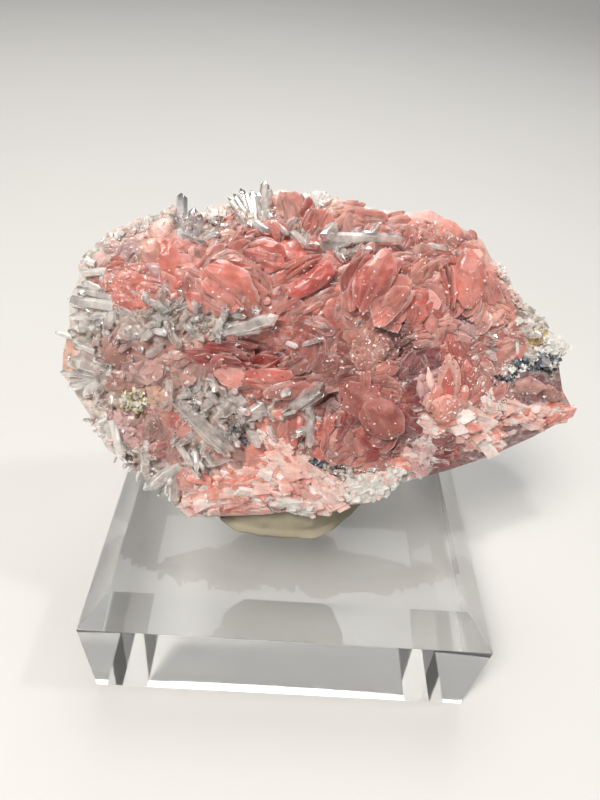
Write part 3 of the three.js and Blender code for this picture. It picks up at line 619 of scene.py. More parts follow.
def blade(heap, rng, place, length, width, thickness, turn, pitch, roll, tint, taper,
          grade=FINE, steps=5, streaked=1.0, edge=1.0):
    """One lens-shaped crystal with growth steps, and streaks fanned from one end."""
    sides, rings = grade
    angles, outline_x, outline_y = blade_outline(rng, sides, taper, streaked)
    phase = rng.uniform(0, 1)
    heights = []
    for ring in rings:
        climb = ring * steps + phase + 0.3 * np.sin(angles * 2 + phase * 9)
        stair = (climb - np.floor(climb)) - 0.5
        heights.append((ring, DOME_HEIGHT * (1 - ring ** 3.5) + STEP_HEIGHT * stair * (1 - ring)))
    for ring in UNDER_RINGS:
        heights.append((ring, np.full(sides, -UNDER_DEPTH * (1 - ring ** 2))))
    layers = [np.array([[0, 0, TOP_HEIGHT]])]
    reach = [np.zeros(1)]
    for ring, height in heights:
        layers.append(np.stack((outline_x * ring / 2, outline_y * ring / 2, height), axis=1))
        reach.append(np.full(sides, ring))
    layers.append(np.array([[0, 0, -UNDER_DEPTH]]))
    reach.append(np.zeros(1))

    points = np.concatenate(layers) * (length, width, thickness)
    bend, twist = rng.uniform(-0.05, 0.05), rng.uniform(-0.05, 0.05)
    points[:, 2] += bend * (points[:, 0] ** 2 - length ** 2 / 12) + twist * points[:, 0] * points[:, 1]
    from_foot = points[:, 0] + FOOT * length
    bearing = np.arctan2(points[:, 1], from_foot)
    points[:, 2] += 0.03 * width * ripple(points * (0.6, 1, 0), rng, 0.6 * width)
    fan = np.column_stack((bearing * 3.2, points[:, 0] * 0.25, 0 * bearing))
    points[:, 2] += 0.035 * streaked * ripple(fan, rng, 0.9, 2) * min(width, 3)
    seed = np.full(len(points), rng.uniform(0, 50))
    growth = np.column_stack((np.hypot(from_foot, points[:, 1]), bearing * streaked, seed))
    points = turned(points, turn, pitch, roll) + place
    shade = 1 + rng.uniform(-0.14, 0.14)
    # The rim layer, scaled by edge, is drawn pale in the paint: partly the thin edge's own colour, partly
    # painted highlight.
    heap.add(points, ring_faces(len(heights), sides), np.array(tint) * shade,
             edge * np.concatenate(reach), FINISHES["petal"], growth)


def blade_stack(heap, rng, row):
    """A listed crystal: one pointed (0) or round (1) lens, or thin leaves fanned about its length."""
    u, v, height, length, width, thickness, turn, pitch, roll, tint, layers = row
    if layers < 2:
        taper = 1.0 if layers == 1 else rng.uniform(1.5, 1.7)
        blade(heap, rng, seated(u, v, height - SUNK), length, width, 0.8 * thickness, turn, pitch, roll,
              TINTS[tint], taper, streaked=0.35, edge=0.95 if width > 2.4 else 1.0)
        return
    for leaf in range(4 + 3 * layers):
        fan = 0 if leaf == 0 else rng.uniform(-1, 1)
        across = 0.42 * fan * width
        along = 0.12 * length * rng.uniform(-1, 1) * (leaf > 0)
        east, north = swung(along, across, turn)
        lift = height - SUNK - 0.2 * thickness * fan * fan + 0.15 * thickness * rng.uniform(-1, 1)
        size = 1 if leaf == 0 else rng.uniform(0.5, 1.02)
        slim = rng.uniform(0.9, 1) if leaf == 0 else rng.uniform(0.4, 0.8)
        # Leaves fanned further out sit lower and get a darker tint: painted shade under the middle leaf.
        fanned_leaf_shaded_tint = np.array(TINTS[tint]) * (1.04 - 0.3 * abs(fan))
        blade(heap, rng, seated(u + east, v + north, lift), length * size, width * size * slim,
              rng.uniform(0.3, 0.55), turn + 14 * fan + rng.gauss(0, 7), pitch + rng.gauss(0, 4),
              roll + 15 * fan + rng.gauss(0, 4), fanned_leaf_shaded_tint, taper=rng.uniform(1.0, 1.3))


BLUNTED = 1 - 0.5 * (1 - np.cos(np.radians(4)))       # a prism's blunted edges stand a little closer in
TIP_WIDTH = 0.16              # width of a prism's last ring, and its way back from the very tip
TIP_BACK = 0.14
OFF_CENTRE = 0.3              # how far the very tip may be off the middle, each way


def prism(heap, rng, root, tip, width, tint, milk, rings=12, nudges=(-4, 4)):
    """A six-sided quartz crystal with cross striations and an uneven point.

    Each edge is blunted between the bearings, in degrees, that nudges gives either side of it.
    """
    along = np.array(tip) - np.array(root)
    length = float(np.linalg.norm(along))
    corners = []
    for side in range(6):
        angle = math.radians(60 * side + rng.uniform(-5, 5))
        corners.extend(angle + math.radians(nudge) for nudge in nudges)
    corners = np.array(corners)
    sides = len(corners)
    squash = rng.uniform(0.78, 1.0)
    section = np.stack((np.cos(corners) * BLUNTED, np.sin(corners) * BLUNTED * squash), axis=1) * width / 2
    cap = width * rng.uniform(0.45, 0.75)
    body = length - cap
    shifts = [0] + [rng.uniform(-0.3, 0.3) for _ in range(rings - 2)] + [0]
    stations = np.linspace(0, body, rings) + np.array(shifts) * body / rings
    taper = rng.uniform(0.04, 0.16)
    off_centre = np.array((rng.uniform(-0.3, 0.3), rng.uniform(-0.3, 0.3))) * width * OFF_CENTRE
    layers = [np.array([[0.0, 0.0, 0.0]])]
    for station in stations:
        scale = (1 - taper * station / length) * (1 + rng.uniform(-0.006, 0.006))
        layers.append(np.column_stack((np.full(sides, station), section * scale)))
    lean = np.array([rng.uniform(-0.12, 0.12) for _ in range(6)])
    layers[-1][:, 0] += np.repeat(lean, len(nudges)) * width
    end = section * (1 - taper) * TIP_WIDTH + off_centre
    layers.append(np.column_stack((np.full(sides, length - TIP_BACK * cap), end)))
    layers.append(np.array([[length, *off_centre]]))
    points = pointing(np.concatenate(layers), along) + root
    cloud = np.clip(milk + 0.6 - 0.9 * np.linspace(0, 1, rings + 3), 0, 1) * (0.45 + 0.55 * milk)
    haze = np.concatenate(([cloud[0]], np.repeat(cloud[1:-1], sides), [cloud[-1]]))
    colour = np.array(pick_tint(rng, tint)) * (1 + rng.uniform(-0.06, 0.06))
    heap.add(points, ring_faces(rings + 1, sides), colour, haze, FINISHES["quartz"])


CUBE = np.array([(x, y, z) for x in (-0.5, 0.5) for y in (-0.5, 0.5) for z in (-0.5, 0.5)])
CUBE_FACES = [np.array([(0, 1, 3, 2), (4, 6, 7, 5), (0, 4, 5, 1),
                        (2, 3, 7, 6), (0, 2, 6, 4), (1, 5, 7, 3)])]


def chip(heap, rng, place, size, turn, pitch, roll, tint, finish, lean=0.0):
    """A broken piece: a block, leaning or straight, whose corners are all a little off."""
    points = CUBE * size
    points[:, 0] += lean * points[:, 1] + 0.3 * lean * points[:, 2]
    points = points * (1 + np.array([[rng.uniform(-0.14, 0.14) for _ in range(3)] for _ in CUBE]))
    points = turned(points, turn, pitch, roll) + place
    shade = 1 + rng.uniform(-0.15, 0.12)
    heap.add(points, CUBE_FACES, np.array(pick_tint(rng, tint)) * shade, rng.uniform(0, 1), finish)


# ---------------------------------------------------------------- listed crystals

# Each row: u, v, height, length, width, thickness, turn, pitch, roll, tint, layers.
BLADES = {
    "rhodochrosite_salmon_blades": [
        (-18.4, 33.2, 0.1, 3.8, 2.8, 1.4, 84, 0, 8, "pale", 1),
        (-21.3, 33.0, 0.0, 3.6, 2.6, 1.2, 62, 0, -6, "lilac", 2),
        (-16.2, 32.5, 0.5, 4.9, 3.0, 1.1, 112, 0, 12, "bright", 0),
        (-15.2, 34.0, 0.0, 3.2, 1.8, 1.0, 118, 0, -10, "rose", 1),
        (-19.6, 34.6, -0.3, 2.4, 1.6, 1.0, 30, 0, 0, "blush", 1),
        (-17.2, 35.9, -0.1, 3.0, 2.6, 1.5, 40, 0, 0, "blush", 1),
        (-23.4, 32.2, -0.1, 3.4, 2.2, 1.0, 40, 0, 0, "blush", 2),
        (-17.7, 31.3, 0.1, 3.4, 1.8, 1.0, -20, 0, 0, "lilac", 1),
    ],
    "rhodochrosite_left_patch": [
        (-21.4, 29.4, 0.3, 4.8, 3.6, 1.4, 20, 4, 6, "bright", 1),
        (-18.2, 29.2, 0.1, 4.6, 2.8, 1.2, -14, 0, -8, "bright", 2),
        (-21.8, 27.7, 0.1, 3.4, 2.2, 1.0, 0, 0, 0, "coral", 1),
        (-16.4, 30.2, 0.2, 3.0, 2.0, 1.0, -50, 0, 0, "rose", 1),
        (-19.9, 31.3, 0.1, 3.8, 2.0, 1.0, -10, 0, 0, "rose", 1),
    ],
    "rhodochrosite_bright_blades": [
        (-9.6, 30.2, 0.5, 7.8, 5.4, 2.2, -28, 0, 8, "bright", 2),
        (-6.0, 34.2, 0.4, 5.4, 3.8, 1.8, -8, 8, -4, "coral", 4),
        (-8.6, 34.6, 0.1, 4.6, 2.8, 1.3, 64, 4, 10, "rose", 3),
        (-11.4, 33.4, 0.1, 4.6, 3.0, 1.3, 30, 0, 0, "rose", 2),
        (-13.4, 30.6, 0.0, 4.2, 2.6, 1.2, -40, 0, 0, "rose", 2),
        (-12.6, 28.4, 0.0, 4.2, 2.2, 1.1, -20, 0, 0, "coral", 1),
        (-6.8, 28.2, 0.3, 3.4, 2.2, 1.1, -50, 0, 0, "rose", 2),
        (-10.6, 35.8, 0.0, 3.6, 2.2, 1.0, 10, 0, 0, "pale", 2),
        (-4.2, 31.6, 0.0, 3.8, 1.8, 1.0, 60, 0, 0, "coral", 2),
        (-7.4, 31.9, 0.1, 4.0, 1.6, 1.0, 30, 0, 0, "deep", 2),
    ],
    "rhodochrosite_leaf_stack": [
        (-0.2, 31.9, 0.9, 6.9, 2.5, 1.3, 39, 0, -14, "crimson", 1),
        (-1.3, 33.0, 0.6, 5.6, 1.2, 0.5, 38, 4, 48, "salmon", 1),
        (-1.8, 33.2, 0.5, 5.4, 1.2, 0.5, 36, 4, 50, "coral", 1),
        (-2.3, 33.3, 0.4, 5.0, 1.2, 0.5, 33, 4, 52, "salmon", 1),
        (-2.8, 33.3, 0.3, 4.6, 1.2, 0.5, 30, 4, 52, "coral", 1),
        (-3.3, 33.2, 0.2, 4.2, 1.2, 0.5, 27, 4, 50, "salmon", 1),
        (-3.9, 32.6, 0.1, 4.0, 1.4, 0.6, 30, 4, 44, "coral", 1),
        (1.2, 29.6, 0.0, 5.0, 2.4, 1.2, 26, -6, 8, "rose", 2),
        (-2.2, 28.6, -0.2, 4.6, 2.4, 1.1, 0, 0, 0, "rose", 2),
        (3.2, 28.4, -0.2, 4.0, 2.2, 1.1, 70, 0, 0, "rose", 2),
    ],
    "rhodochrosite_top_blades": [
        (-2.9, 38.9, 0.2, 4.6, 3.2, 1.5, -62, 0, -8, "salmon", 3),
        (-0.6, 38.0, 0.2, 4.6, 2.8, 1.4, 72, 6, 8, "bright", 3),
        (3.3, 39.0, 0.2, 4.8, 3.2, 1.5, 8, 0, -6, "salmon", 3),
        (6.3, 38.6, 0.1, 4.2, 2.8, 1.4, -16, 0, 0, "salmon", 2),
        (1.2, 39.6, 0.1, 3.4, 2.2, 1.2, 30, 0, 0, "pale", 2),
        (8.6, 38.6, 0.0, 3.8, 2.4, 1.1, 10, 0, 0, "rose", 2),
        (-4.6, 39.8, 0.0, 2.6, 1.8, 1.0, -40, 0, 0, "pale", 1),
    ],
    "rhodochrosite_top_right_blades": [
        (13.6, 37.8, 0.1, 5.8, 3.8, 2.2, -10, 0, -6, "salmon", 1),
        (11.0, 38.2, 0.0, 3.4, 2.6, 1.6, 20, 0, 0, "salmon", 1),
        (10.6, 36.6, 0.1, 4.2, 2.2, 1.3, 86, 4, 8, "rose", 2),
        (14.4, 37.0, 0.0, 4.4, 2.4, 1.3, -52, 0, 0, "salmon", 2),
        (12.6, 37.2, 0.1, 3.0, 1.8, 1.0, -10, 0, 0, "rose", 1),
    ],
    "rhodochrosite_centre_blades": [
        (6.6, 32.2, 0.8, 8.0, 4.6, 2.2, 72, 0, -10, "coral", 2),
        (8.8, 30.2, 0.7, 7.4, 4.4, 1.9, 62, -4, 10, "bright", 2),
        (3.2, 32.5, 0.1, 3.2, 2.2, 1.1, 50, 0, 0, "salmon", 2),
        (11.9, 33.2, 0.2, 5.4, 2.6, 1.4, 48, 4, 8, "salmon", 2),
        (13.4, 31.4, 0.0, 4.6, 2.6, 1.2, 60, 0, 0, "rose", 2),
        (12.0, 29.0, 0.0, 4.4, 3.0, 1.4, 80, 0, 0, "coral", 2),
        (9.2, 34.7, 0.2, 3.6, 2.2, 1.1, 20, 0, 0, "salmon", 2),
        (6.6, 35.5, 0.0, 4.2, 1.6, 1.0, 5, 0, 0, "rose", 2),
    ],
    "rhodochrosite_right_blades": [
        (17.7, 33.2, 0.6, 7.0, 3.8, 2.2, 102, 0, 10, "bright", 1),
        (17.8, 35.2, 0.0, 3.0, 2.4, 1.3, 60, 0, 0, "pale", 1),
        (20.2, 32.0, 0.2, 4.8, 2.8, 1.4, -52, 0, 8, "rose", 2),
        (15.0, 32.3, 0.5, 5.2, 0.9, 0.5, 110, 0, -50, "dusk", 0),
        (15.5, 32.3, 0.6, 5.4, 0.9, 0.5, 106, 0, -50, "brown", 0),
        (16.0, 32.2, 0.7, 5.2, 0.9, 0.5, 103, 0, -50, "coral", 0),
        (21.0, 30.0, 0.1, 4.8, 1.8, 1.0, -12, 0, 10, "salmon", 3),
        (18.8, 30.2, 0.0, 4.2, 2.0, 1.1, -6, 0, 0, "coral", 2),
    ],
    "rhodochrosite_layered_blades": [
        (-4.4, 19.8, 0.7, 7.2, 3.0, 1.1, 8, 0, 16, "coral", 4),
        (-5.0, 21.6, 0.3, 6.6, 2.6, 1.0, 4, 0, 20, "deep", 3),
        (-2.2, 18.4, 0.5, 6.0, 2.8, 1.1, 12, 0, 10, "brown", 2),
        (-9.6, 22.4, 0.3, 6.0, 2.8, 1.2, -6, 0, 14, "deep", 3),
        (-7.6, 19.2, 0.2, 3.6, 2.0, 1.0, 10, 0, 0, "brown", 2),
        (-12.6, 22.0, 0.2, 4.4, 2.4, 1.1, -10, 0, 0, "deep", 2),
        (-1.4, 21.6, 0.2, 4.2, 2.6, 1.2, 30, 0, 0, "brown", 2),
    ],
    "rhodochrosite_sparkling_dome": [
        (7.2, 24.4, 0.4, 6.2, 4.4, 2.4, 80, 0, 0, "sugar", 1),
        (8.6, 21.4, 0.4, 4.8, 3.0, 1.4, 14, 0, 10, "rose", 4),
        (4.4, 21.8, 0.0, 4.4, 2.6, 1.3, 70, 0, 0, "brown", 2),
        (2.2, 22.8, 0.0, 4.6, 3.0, 1.4, 60, 0, 0, "dusk", 2),
        (5.0, 19.6, 0.0, 3.6, 2.4, 1.2, 100, 0, 0, "dusk", 1),
    ],
    "rhodochrosite_smooth_lens": [
        (7.5, 17.7, 0.3, 7.4, 4.8, 1.8, -30, 0, 0, "dusk", 1),
        (9.7, 15.7, 0.9, 6.0, 4.8, 1.6, -38, 0, 4, "dusk", 1),
        (6.0, 15.9, 0.2, 3.6, 2.6, 1.2, 60, 0, 0, "deep", 2),
        (8.6, 12.6, 0.0, 4.6, 2.6, 1.2, -20, 0, 0, "deep", 2),
    ],
    "rhodochrosite_teardrop": [
        (17.2, 21.0, 0.4, 7.2, 2.8, 1.2, 96, 0, -4, "pale", 0),
        (17.1, 20.2, 0.8, 5.0, 1.6, 0.9, 95, 0, 0, "coral", 0),
        (17.0, 17.6, 0.5, 3.8, 3.4, 2.0, 40, 0, 0, "salmon", 1),
        (15.9, 18.7, 0.3, 3.6, 2.2, 1.6, 80, 0, 10, "salmon", 1),
        (14.9, 21.0, 0.5, 4.0, 1.1, 0.9, 112, 0, 20, "blush", 0),
        (14.0, 19.6, 0.3, 3.0, 1.1, 0.9, 112, 0, 0, "lilac", 0),
        (18.9, 18.8, 0.2, 4.0, 1.6, 1.2, 78, 0, -20, "salmon", 1),
        (19.0, 21.6, 0.1, 4.4, 2.6, 1.3, 118, 0, 0, "coral", 2),
        (20.6, 19.6, 0.0, 4.0, 2.2, 1.1, 60, 0, 0, "rose", 2),
    ],
    "rhodochrosite_plum_blades": [
        (13.2, 23.2, 0.1, 4.6, 3.2, 1.4, 20, 0, 0, "plum", 2),
        (17.0, 24.6, 0.1, 5.0, 3.0, 1.4, -60, 0, 0, "coral", 2),
        (20.4, 25.2, 0.0, 4.6, 2.6, 1.3, 40, 0, 0, "rose", 2),
        (15.4, 27.5, 0.1, 4.2, 2.2, 1.2, 4, 0, 0, "rose", 2),
        (12.4, 26.3, 0.3, 3.6, 0.9, 0.6, 2, 0, 0, "pale", 2),
        (13.2, 18.6, -0.2, 3.6, 2.4, 1.2, 30, 0, 0, "plum", 2),
        (18.8, 27.4, 0.1, 3.6, 2.0, 1.1, -20, 0, 0, "lilac", 1),
        (26.6, 21.2, 0.0, 4.6, 2.4, 1.4, 6, 0, 0, "ash", 1),
        (29.6, 20.6, -0.1, 3.6, 2.2, 1.3, -14, 0, 0, "tan", 1),
    ],
    "rhodochrosite_brown_lenses": [
        (-22.2, 21.6, 0.2, 4.2, 3.0, 1.5, 34, 0, 0, "tan", 1),
        (-18.6, 22.2, 0.0, 4.2, 2.8, 1.3, -20, 0, 0, "ash", 2),
        (-22.4, 17.8, 0.1, 3.6, 1.8, 1.1, 8, 0, 0, "tan", 1),
        (-19.6, 19.0, 0.2, 3.4, 2.0, 1.2, 72, 0, 0, "ash", 2),
        (-16.6, 20.6, 0.0, 4.0, 2.4, 1.2, 10, 0, 0, "tan", 2),
    ],
    "rhodochrosite_lower_left_blades": [
        (-17.2, 12.9, 0.1, 3.6, 2.2, 1.0, 96, 0, 0, "ash", 2),
        (-18.9, 12.4, 0.0, 3.2, 2.0, 1.0, 80, 0, 0, "dull", 2),
        (-20.8, 12.8, 0.0, 3.6, 2.4, 1.0, 20, 0, 0, "dull", 1),
        (-17.2, 10.0, 0.1, 4.0, 2.2, 1.0, 26, 0, 0, "rose", 2),
        (-20.6, 10.6, -0.1, 3.4, 2.0, 1.0, -10, 0, 0, "lilac", 1),
    ],
    "rhodochrosite_upright_blades": [
        (3.1, 13.4, 0.3, 5.4, 1.5, 1.2, 84, 0, 12, "coral", 2),
        (4.6, 13.6, 0.1, 5.0, 1.6, 1.1, 80, 0, 0, "deep", 2),
        (6.0, 11.2, 0.0, 4.2, 2.4, 1.2, 70, 0, 0, "rose", 2),
    ],
    "rhodochrosite_inner_blade": [
        (-0.8, 13.4, 0.2, 4.8, 1.8, 1.3, 88, 0, -10, "coral", 2),
        (-3.0, 13.2, 0.0, 4.4, 2.2, 1.3, 70, 0, 0, "salmon", 2),
    ],
    "rhodochrosite_wedge_blade": [
        (-14.0, 13.0, 0.1, 5.0, 1.6, 1.0, -34, 0, 0, "coral", 1),
        (-13.2, 11.9, 0.0, 3.6, 1.4, 1.0, -30, 0, 0, "lilac", 1),
    ],
    "rhodochrosite_rose_lens": [
        (-12.2, 5.9, 0.4, 3.8, 1.6, 1.1, -8, 0, 0, "salmon", 1),
        (-14.4, 6.4, 0.1, 3.2, 1.8, 1.1, 30, 0, 0, "rose", 1),
    ],
}

# Each row: root (u, v, height), tip (u, v, height), width, tint, milk.
PRISMS = {
    "quartz_standing_prisms": [
        ((-15.2, 34.8, -0.7), (-15.2, 40.0, 0.3), 1.4, "haze", 0.4),
        ((-14.2, 35.6, -0.7), (-13.9, 38.7, 1.0), 1.1, "haze", 0.3),
        ((-13.6, 35.4, -0.7), (-13.1, 38.0, 1.4), 0.9, "haze", 0.3),
        ((-12.6, 35.4, -0.6), (-10.1, 37.1, 0.9), 1.0, "smoke", 0.2),
        ((-12.8, 35.2, -0.6), (-10.9, 36.2, 1.2), 0.7, "milk", 0.6),
        ((-15.0, 35.6, -0.2), (-12.4, 34.8, 0.8), 0.7, "smoke", 0.3),
    ],
    "quartz_needle_spray": [
        ((-7.2, 36.9, -0.6), (-10.2, 40.0, 0.8), 0.9, "smoke", 0.4),
        ((-7.0, 36.9, -0.6), (-9.6, 40.4, 0.7), 0.8, "smoke", 0.3),
        ((-7.0, 36.9, -0.6), (-8.9, 41.0, 0.7), 0.8, "smoke", 0.2),
        ((-6.8, 36.9, -0.6), (-8.2, 40.6, 1.0), 0.9, "smoke", 0.4),
        ((-6.8, 36.9, -0.6), (-7.6, 40.9, 1.0), 0.9, "smoke", 0.5),
        ((-6.6, 36.9, -0.6), (-6.9, 40.8, 1.1), 0.9, "smoke", 0.3),
        ((-6.5, 36.9, -0.6), (-6.2, 42.0, 0.8), 1.2, "smoke", 0.4),
        ((-6.3, 36.9, -0.5), (-5.5, 41.3, 1.0), 1.0, "smoke", 0.5),
        ((-8.0, 36.6, -0.5), (-9.3, 38.4, 1.0), 0.8, "smoke", 0.5),
    ],
    "quartz_long_prism": [
        ((1.0, 36.5, 0.7), (9.7, 37.0, 2.2), 1.35, "milk", 0.3),
        ((0.2, 34.8, -0.9), (1.9, 38.2, 1.8), 2.0, "smoke", 0.7),
        ((-0.4, 35.2, -1.3), (2.8, 36.2, 1.1), 1.7, "milk", 0.6),
        ((1.2, 35.4, -0.2), (3.8, 36.2, 1.4), 0.6, "milk", 0.6),
        ((1.2, 34.6, -0.5), (6.0, 35.2, 0.7), 1.3, "smoke", 0.2),
        ((5.8, 37.2, 1.0), (6.9, 38.7, 1.9), 0.4, "milk", 0.2),
        ((1.6, 35.6, 0.0), (3.3, 34.0, 1.2), 0.7, "smoke", 0.3),
    ],
    "quartz_diagonal_prisms": [
        ((-5.6, 38.4, 0.0), (-3.3, 36.4, 1.1), 0.8, "milk", 0.4),
        ((-7.1, 37.4, 0.3), (-5.3, 36.4, 1.5), 1.0, "milk", 0.3),
        ((-3.0, 36.9, -0.2), (-1.0, 35.3, 0.6), 0.9, "smoke", 0.6),
    ],
    "quartz_big_prism": [
        ((-10.6, 25.0, -0.5), (-3.7, 27.2, 1.4), 1.7, "milk", 0.5),
        ((-10.2, 24.8, -0.5), (-5.6, 25.6, 0.9), 1.0, "milk", 0.6),
        ((-6.6, 26.2, -0.4), (-6.1, 28.4, 1.0), 0.8, "milk", 0.4),
        ((-10.9, 24.6, -0.2), (-10.5, 26.7, 1.2), 0.9, "milk", 0.8),
    ],
    "quartz_striated_prism": [
        ((-1.6, 16.3, -0.2), (2.0, 19.8, 2.2), 1.6, "smoke", 0.3),
        ((-0.4, 16.4, -0.2), (2.3, 18.6, 1.8), 1.0, "smoke", 0.3),
        ((-1.8, 16.9, -0.2), (0.2, 18.4, 1.2), 0.9, "smoke", 0.5),
    ],
    "quartz_bright_prism": [
        ((-0.6, 27.0, -0.3), (2.1, 26.5, 1.2), 0.9, "milk", 0.1),
    ],
    "quartz_small_bright_prism": [
        ((-1.2, 24.0, -0.3), (1.5, 25.1, 1.2), 0.7, "milk", 0.3),
        ((-2.6, 24.3, -0.1), (-1.2, 23.8, 1.0), 0.7, "milk", 0.8),
    ],
    "quartz_striped_prism": [
        ((-14.6, 25.4, -0.3), (-12.2, 23.7, 1.4), 1.0, "milk", 0.3),
        ((-14.2, 25.6, -0.3), (-12.9, 24.5, 1.2), 0.6, "milk", 0.3),
    ],
    "quartz_left_prisms": [
        ((-22.6, 27.0, -0.3), (-28.2, 27.4, 1.0), 1.4, "milk", 0.6),
        ((-22.4, 25.9, -0.3), (-27.9, 25.4, 1.0), 1.1, "milk", 0.5),
        ((-22.8, 28.0, -0.3), (-27.2, 28.7, 0.8), 1.0, "milk", 0.4),
        ((-22.8, 26.5, -0.3), (-24.0, 24.0, 1.3), 1.2, "smoke", 0.3),
        ((-23.6, 28.6, -0.2), (-26.4, 29.6, 0.9), 0.9, "milk", 0.5),
        ((-25.0, 24.4, -0.3), (-27.4, 24.2, 0.8), 1.2, "milk", 0.6),
        ((-22.0, 24.6, -0.2), (-23.5, 22.6, 1.4), 0.9, "rose", 0.2),
        ((-21.6, 24.8, -0.2), (-22.9, 22.5, 1.4), 0.7, "milk", 0.2),
    ],
    "quartz_upper_left_prisms": [
        ((-23.6, 30.9, 0.0), (-26.7, 30.5, 0.9), 1.0, "milk", 0.6),
        ((-24.2, 30.1, 0.0), (-21.8, 30.7, 1.1), 0.6, "milk", 0.2),
        ((-24.0, 29.7, 0.0), (-22.2, 30.0, 1.1), 0.5, "milk", 0.3),
        ((-24.8, 31.6, 0.0), (-26.2, 32.0, 0.8), 0.9, "milk", 0.8),
    ],
    "quartz_milky_wedge": [
        ((-21.0, 18.4, -2.0), (-28.0, 20.6, 0.8), 2.2, "smoke", 0.7),
        ((-21.5, 18.2, -1.2), (-27.2, 19.2, 0.9), 1.1, "smoke", 0.5),
        ((-25.0, 21.6, -0.2), (-27.6, 22.4, 0.8), 1.1, "milk", 0.4),
    ],
    "quartz_pale_fan": [
        ((-24.6, 18.1, -0.3), (-28.5, 16.9, 1.0), 1.1, "milk", 0.4),
        ((-24.8, 17.8, -0.3), (-26.7, 16.0, 1.2), 1.4, "milk", 0.6),
        ((-24.8, 18.4, -0.2), (-29.3, 18.7, 1.0), 0.8, "milk", 0.3),
        ((-24.2, 17.6, -0.3), (-25.4, 15.8, 1.0), 1.1, "smoke", 0.3),
        ((-25.2, 18.0, -0.2), (-28.4, 17.8, 0.9), 0.8, "smoke", 0.3),
    ],
    "quartz_lower_left_prisms": [
        ((-23.2, 13.2, -0.3), (-22.0, 8.1, 1.4), 1.3, "milk", 0.9),
        ((-23.7, 13.0, -0.3), (-23.4, 9.4, 1.1), 1.3, "milk", 0.5),
        ((-23.7, 13.2, -0.3), (-25.6, 12.2, 0.9), 1.2, "milk", 0.6),
        ((-23.9, 13.0, -0.3), (-24.9, 10.8, 1.0), 1.1, "milk", 0.4),
        ((-22.8, 13.0, -0.3), (-22.4, 10.2, 1.6), 0.6, "milk", 0.9),
        ((-22.0, 11.0, -0.3), (-20.6, 8.6, 0.8), 1.2, "smoke", 0.3),
    ],
    "quartz_hanging_prism": [
        ((-18.9, 10.9, -0.3), (-19.3, 5.9, 1.3), 1.1, "smoke", 0.5),
    ],
    "quartz_corner_prism": [
        ((-14.7, 8.0, -0.5), (-19.4, 3.9, 1.4), 1.9, "milk", 0.4),
        ((-15.9, 7.4, -0.2), (-18.6, 4.6, 1.8), 1.0, "milk", 0.3),
        ((-15.7, 7.0, -0.2), (-15.5, 2.2, 0.8), 1.6, "smoke", 0.5),
        ((-16.2, 6.0, -0.2), (-16.4, 3.2, 0.9), 0.9, "smoke", 0.4),
    ],
    "quartz_long_bundle": [
        ((-16.4, 16.8, -0.4), (-8.6, 9.3, 1.4), 1.1, "smoke", 0.3),
        ((-15.6, 16.8, -0.6), (-8.0, 10.0, 1.0), 1.1, "smoke", 0.4),
        ((-15.6, 15.4, -0.4), (-9.6, 9.7, 1.0), 0.9, "smoke", 0.4),
        ((-14.0, 14.0, -0.2), (-9.2, 10.6, 1.5), 0.6, "milk", 0.3),
        ((-12.4, 13.8, -0.2), (-8.4, 11.2, 1.2), 0.7, "smoke", 0.2),
    ],
    "quartz_crossed_prisms": [
        ((-15.5, 11.2, -0.1), (-13.3, 7.7, 1.6), 0.9, "milk", 0.3),
        ((-15.9, 10.6, -0.1), (-15.3, 11.9, 1.3), 0.6, "milk", 0.3),
        ((-13.0, 10.0, -0.1), (-12.7, 7.0, 1.6), 0.9, "milk", 0.4),
        ((-12.2, 10.0, -0.1), (-10.6, 8.0, 1.5), 0.8, "milk", 0.3),
        ((-8.4, 9.2, -0.1), (-11.4, 8.0, 1.4), 0.7, "milk", 0.4),
        ((-13.4, 9.6, 0.0), (-11.8, 7.4, 1.2), 0.7, "milk", 0.4),
    ],
    "quartz_grey_pair": [
        ((-7.4, 17.4, -0.3), (-10.8, 14.2, 0.9), 2.2, "smoke", 0.4),
        ((-4.9, 16.4, -0.3), (-8.0, 13.9, 0.8), 1.7, "smoke", 0.4),
        ((-8.6, 17.8, -0.2), (-10.6, 16.4, 0.9), 1.4, "smoke", 0.4),
    ],
    "quartz_upright_prism": [
        ((0.8, 16.1, -0.3), (1.2, 11.2, 1.1), 1.3, "smoke", 0.2),
        ((0.6, 16.6, 0.0), (1.0, 15.2, 1.1), 1.2, "smoke", 0.3),
    ],
}

# Lone quartz crystals among the blades, in the same kind of row.
LONE_PRISMS = [
    ((12.2, 36.5, 0.2), (14.9, 36.4, 1.3), 0.8, "milk", 0.5),
    ((15.2, 35.2, 0.0), (16.2, 36.3, 1.2), 0.7, "smoke", 0.3),
]

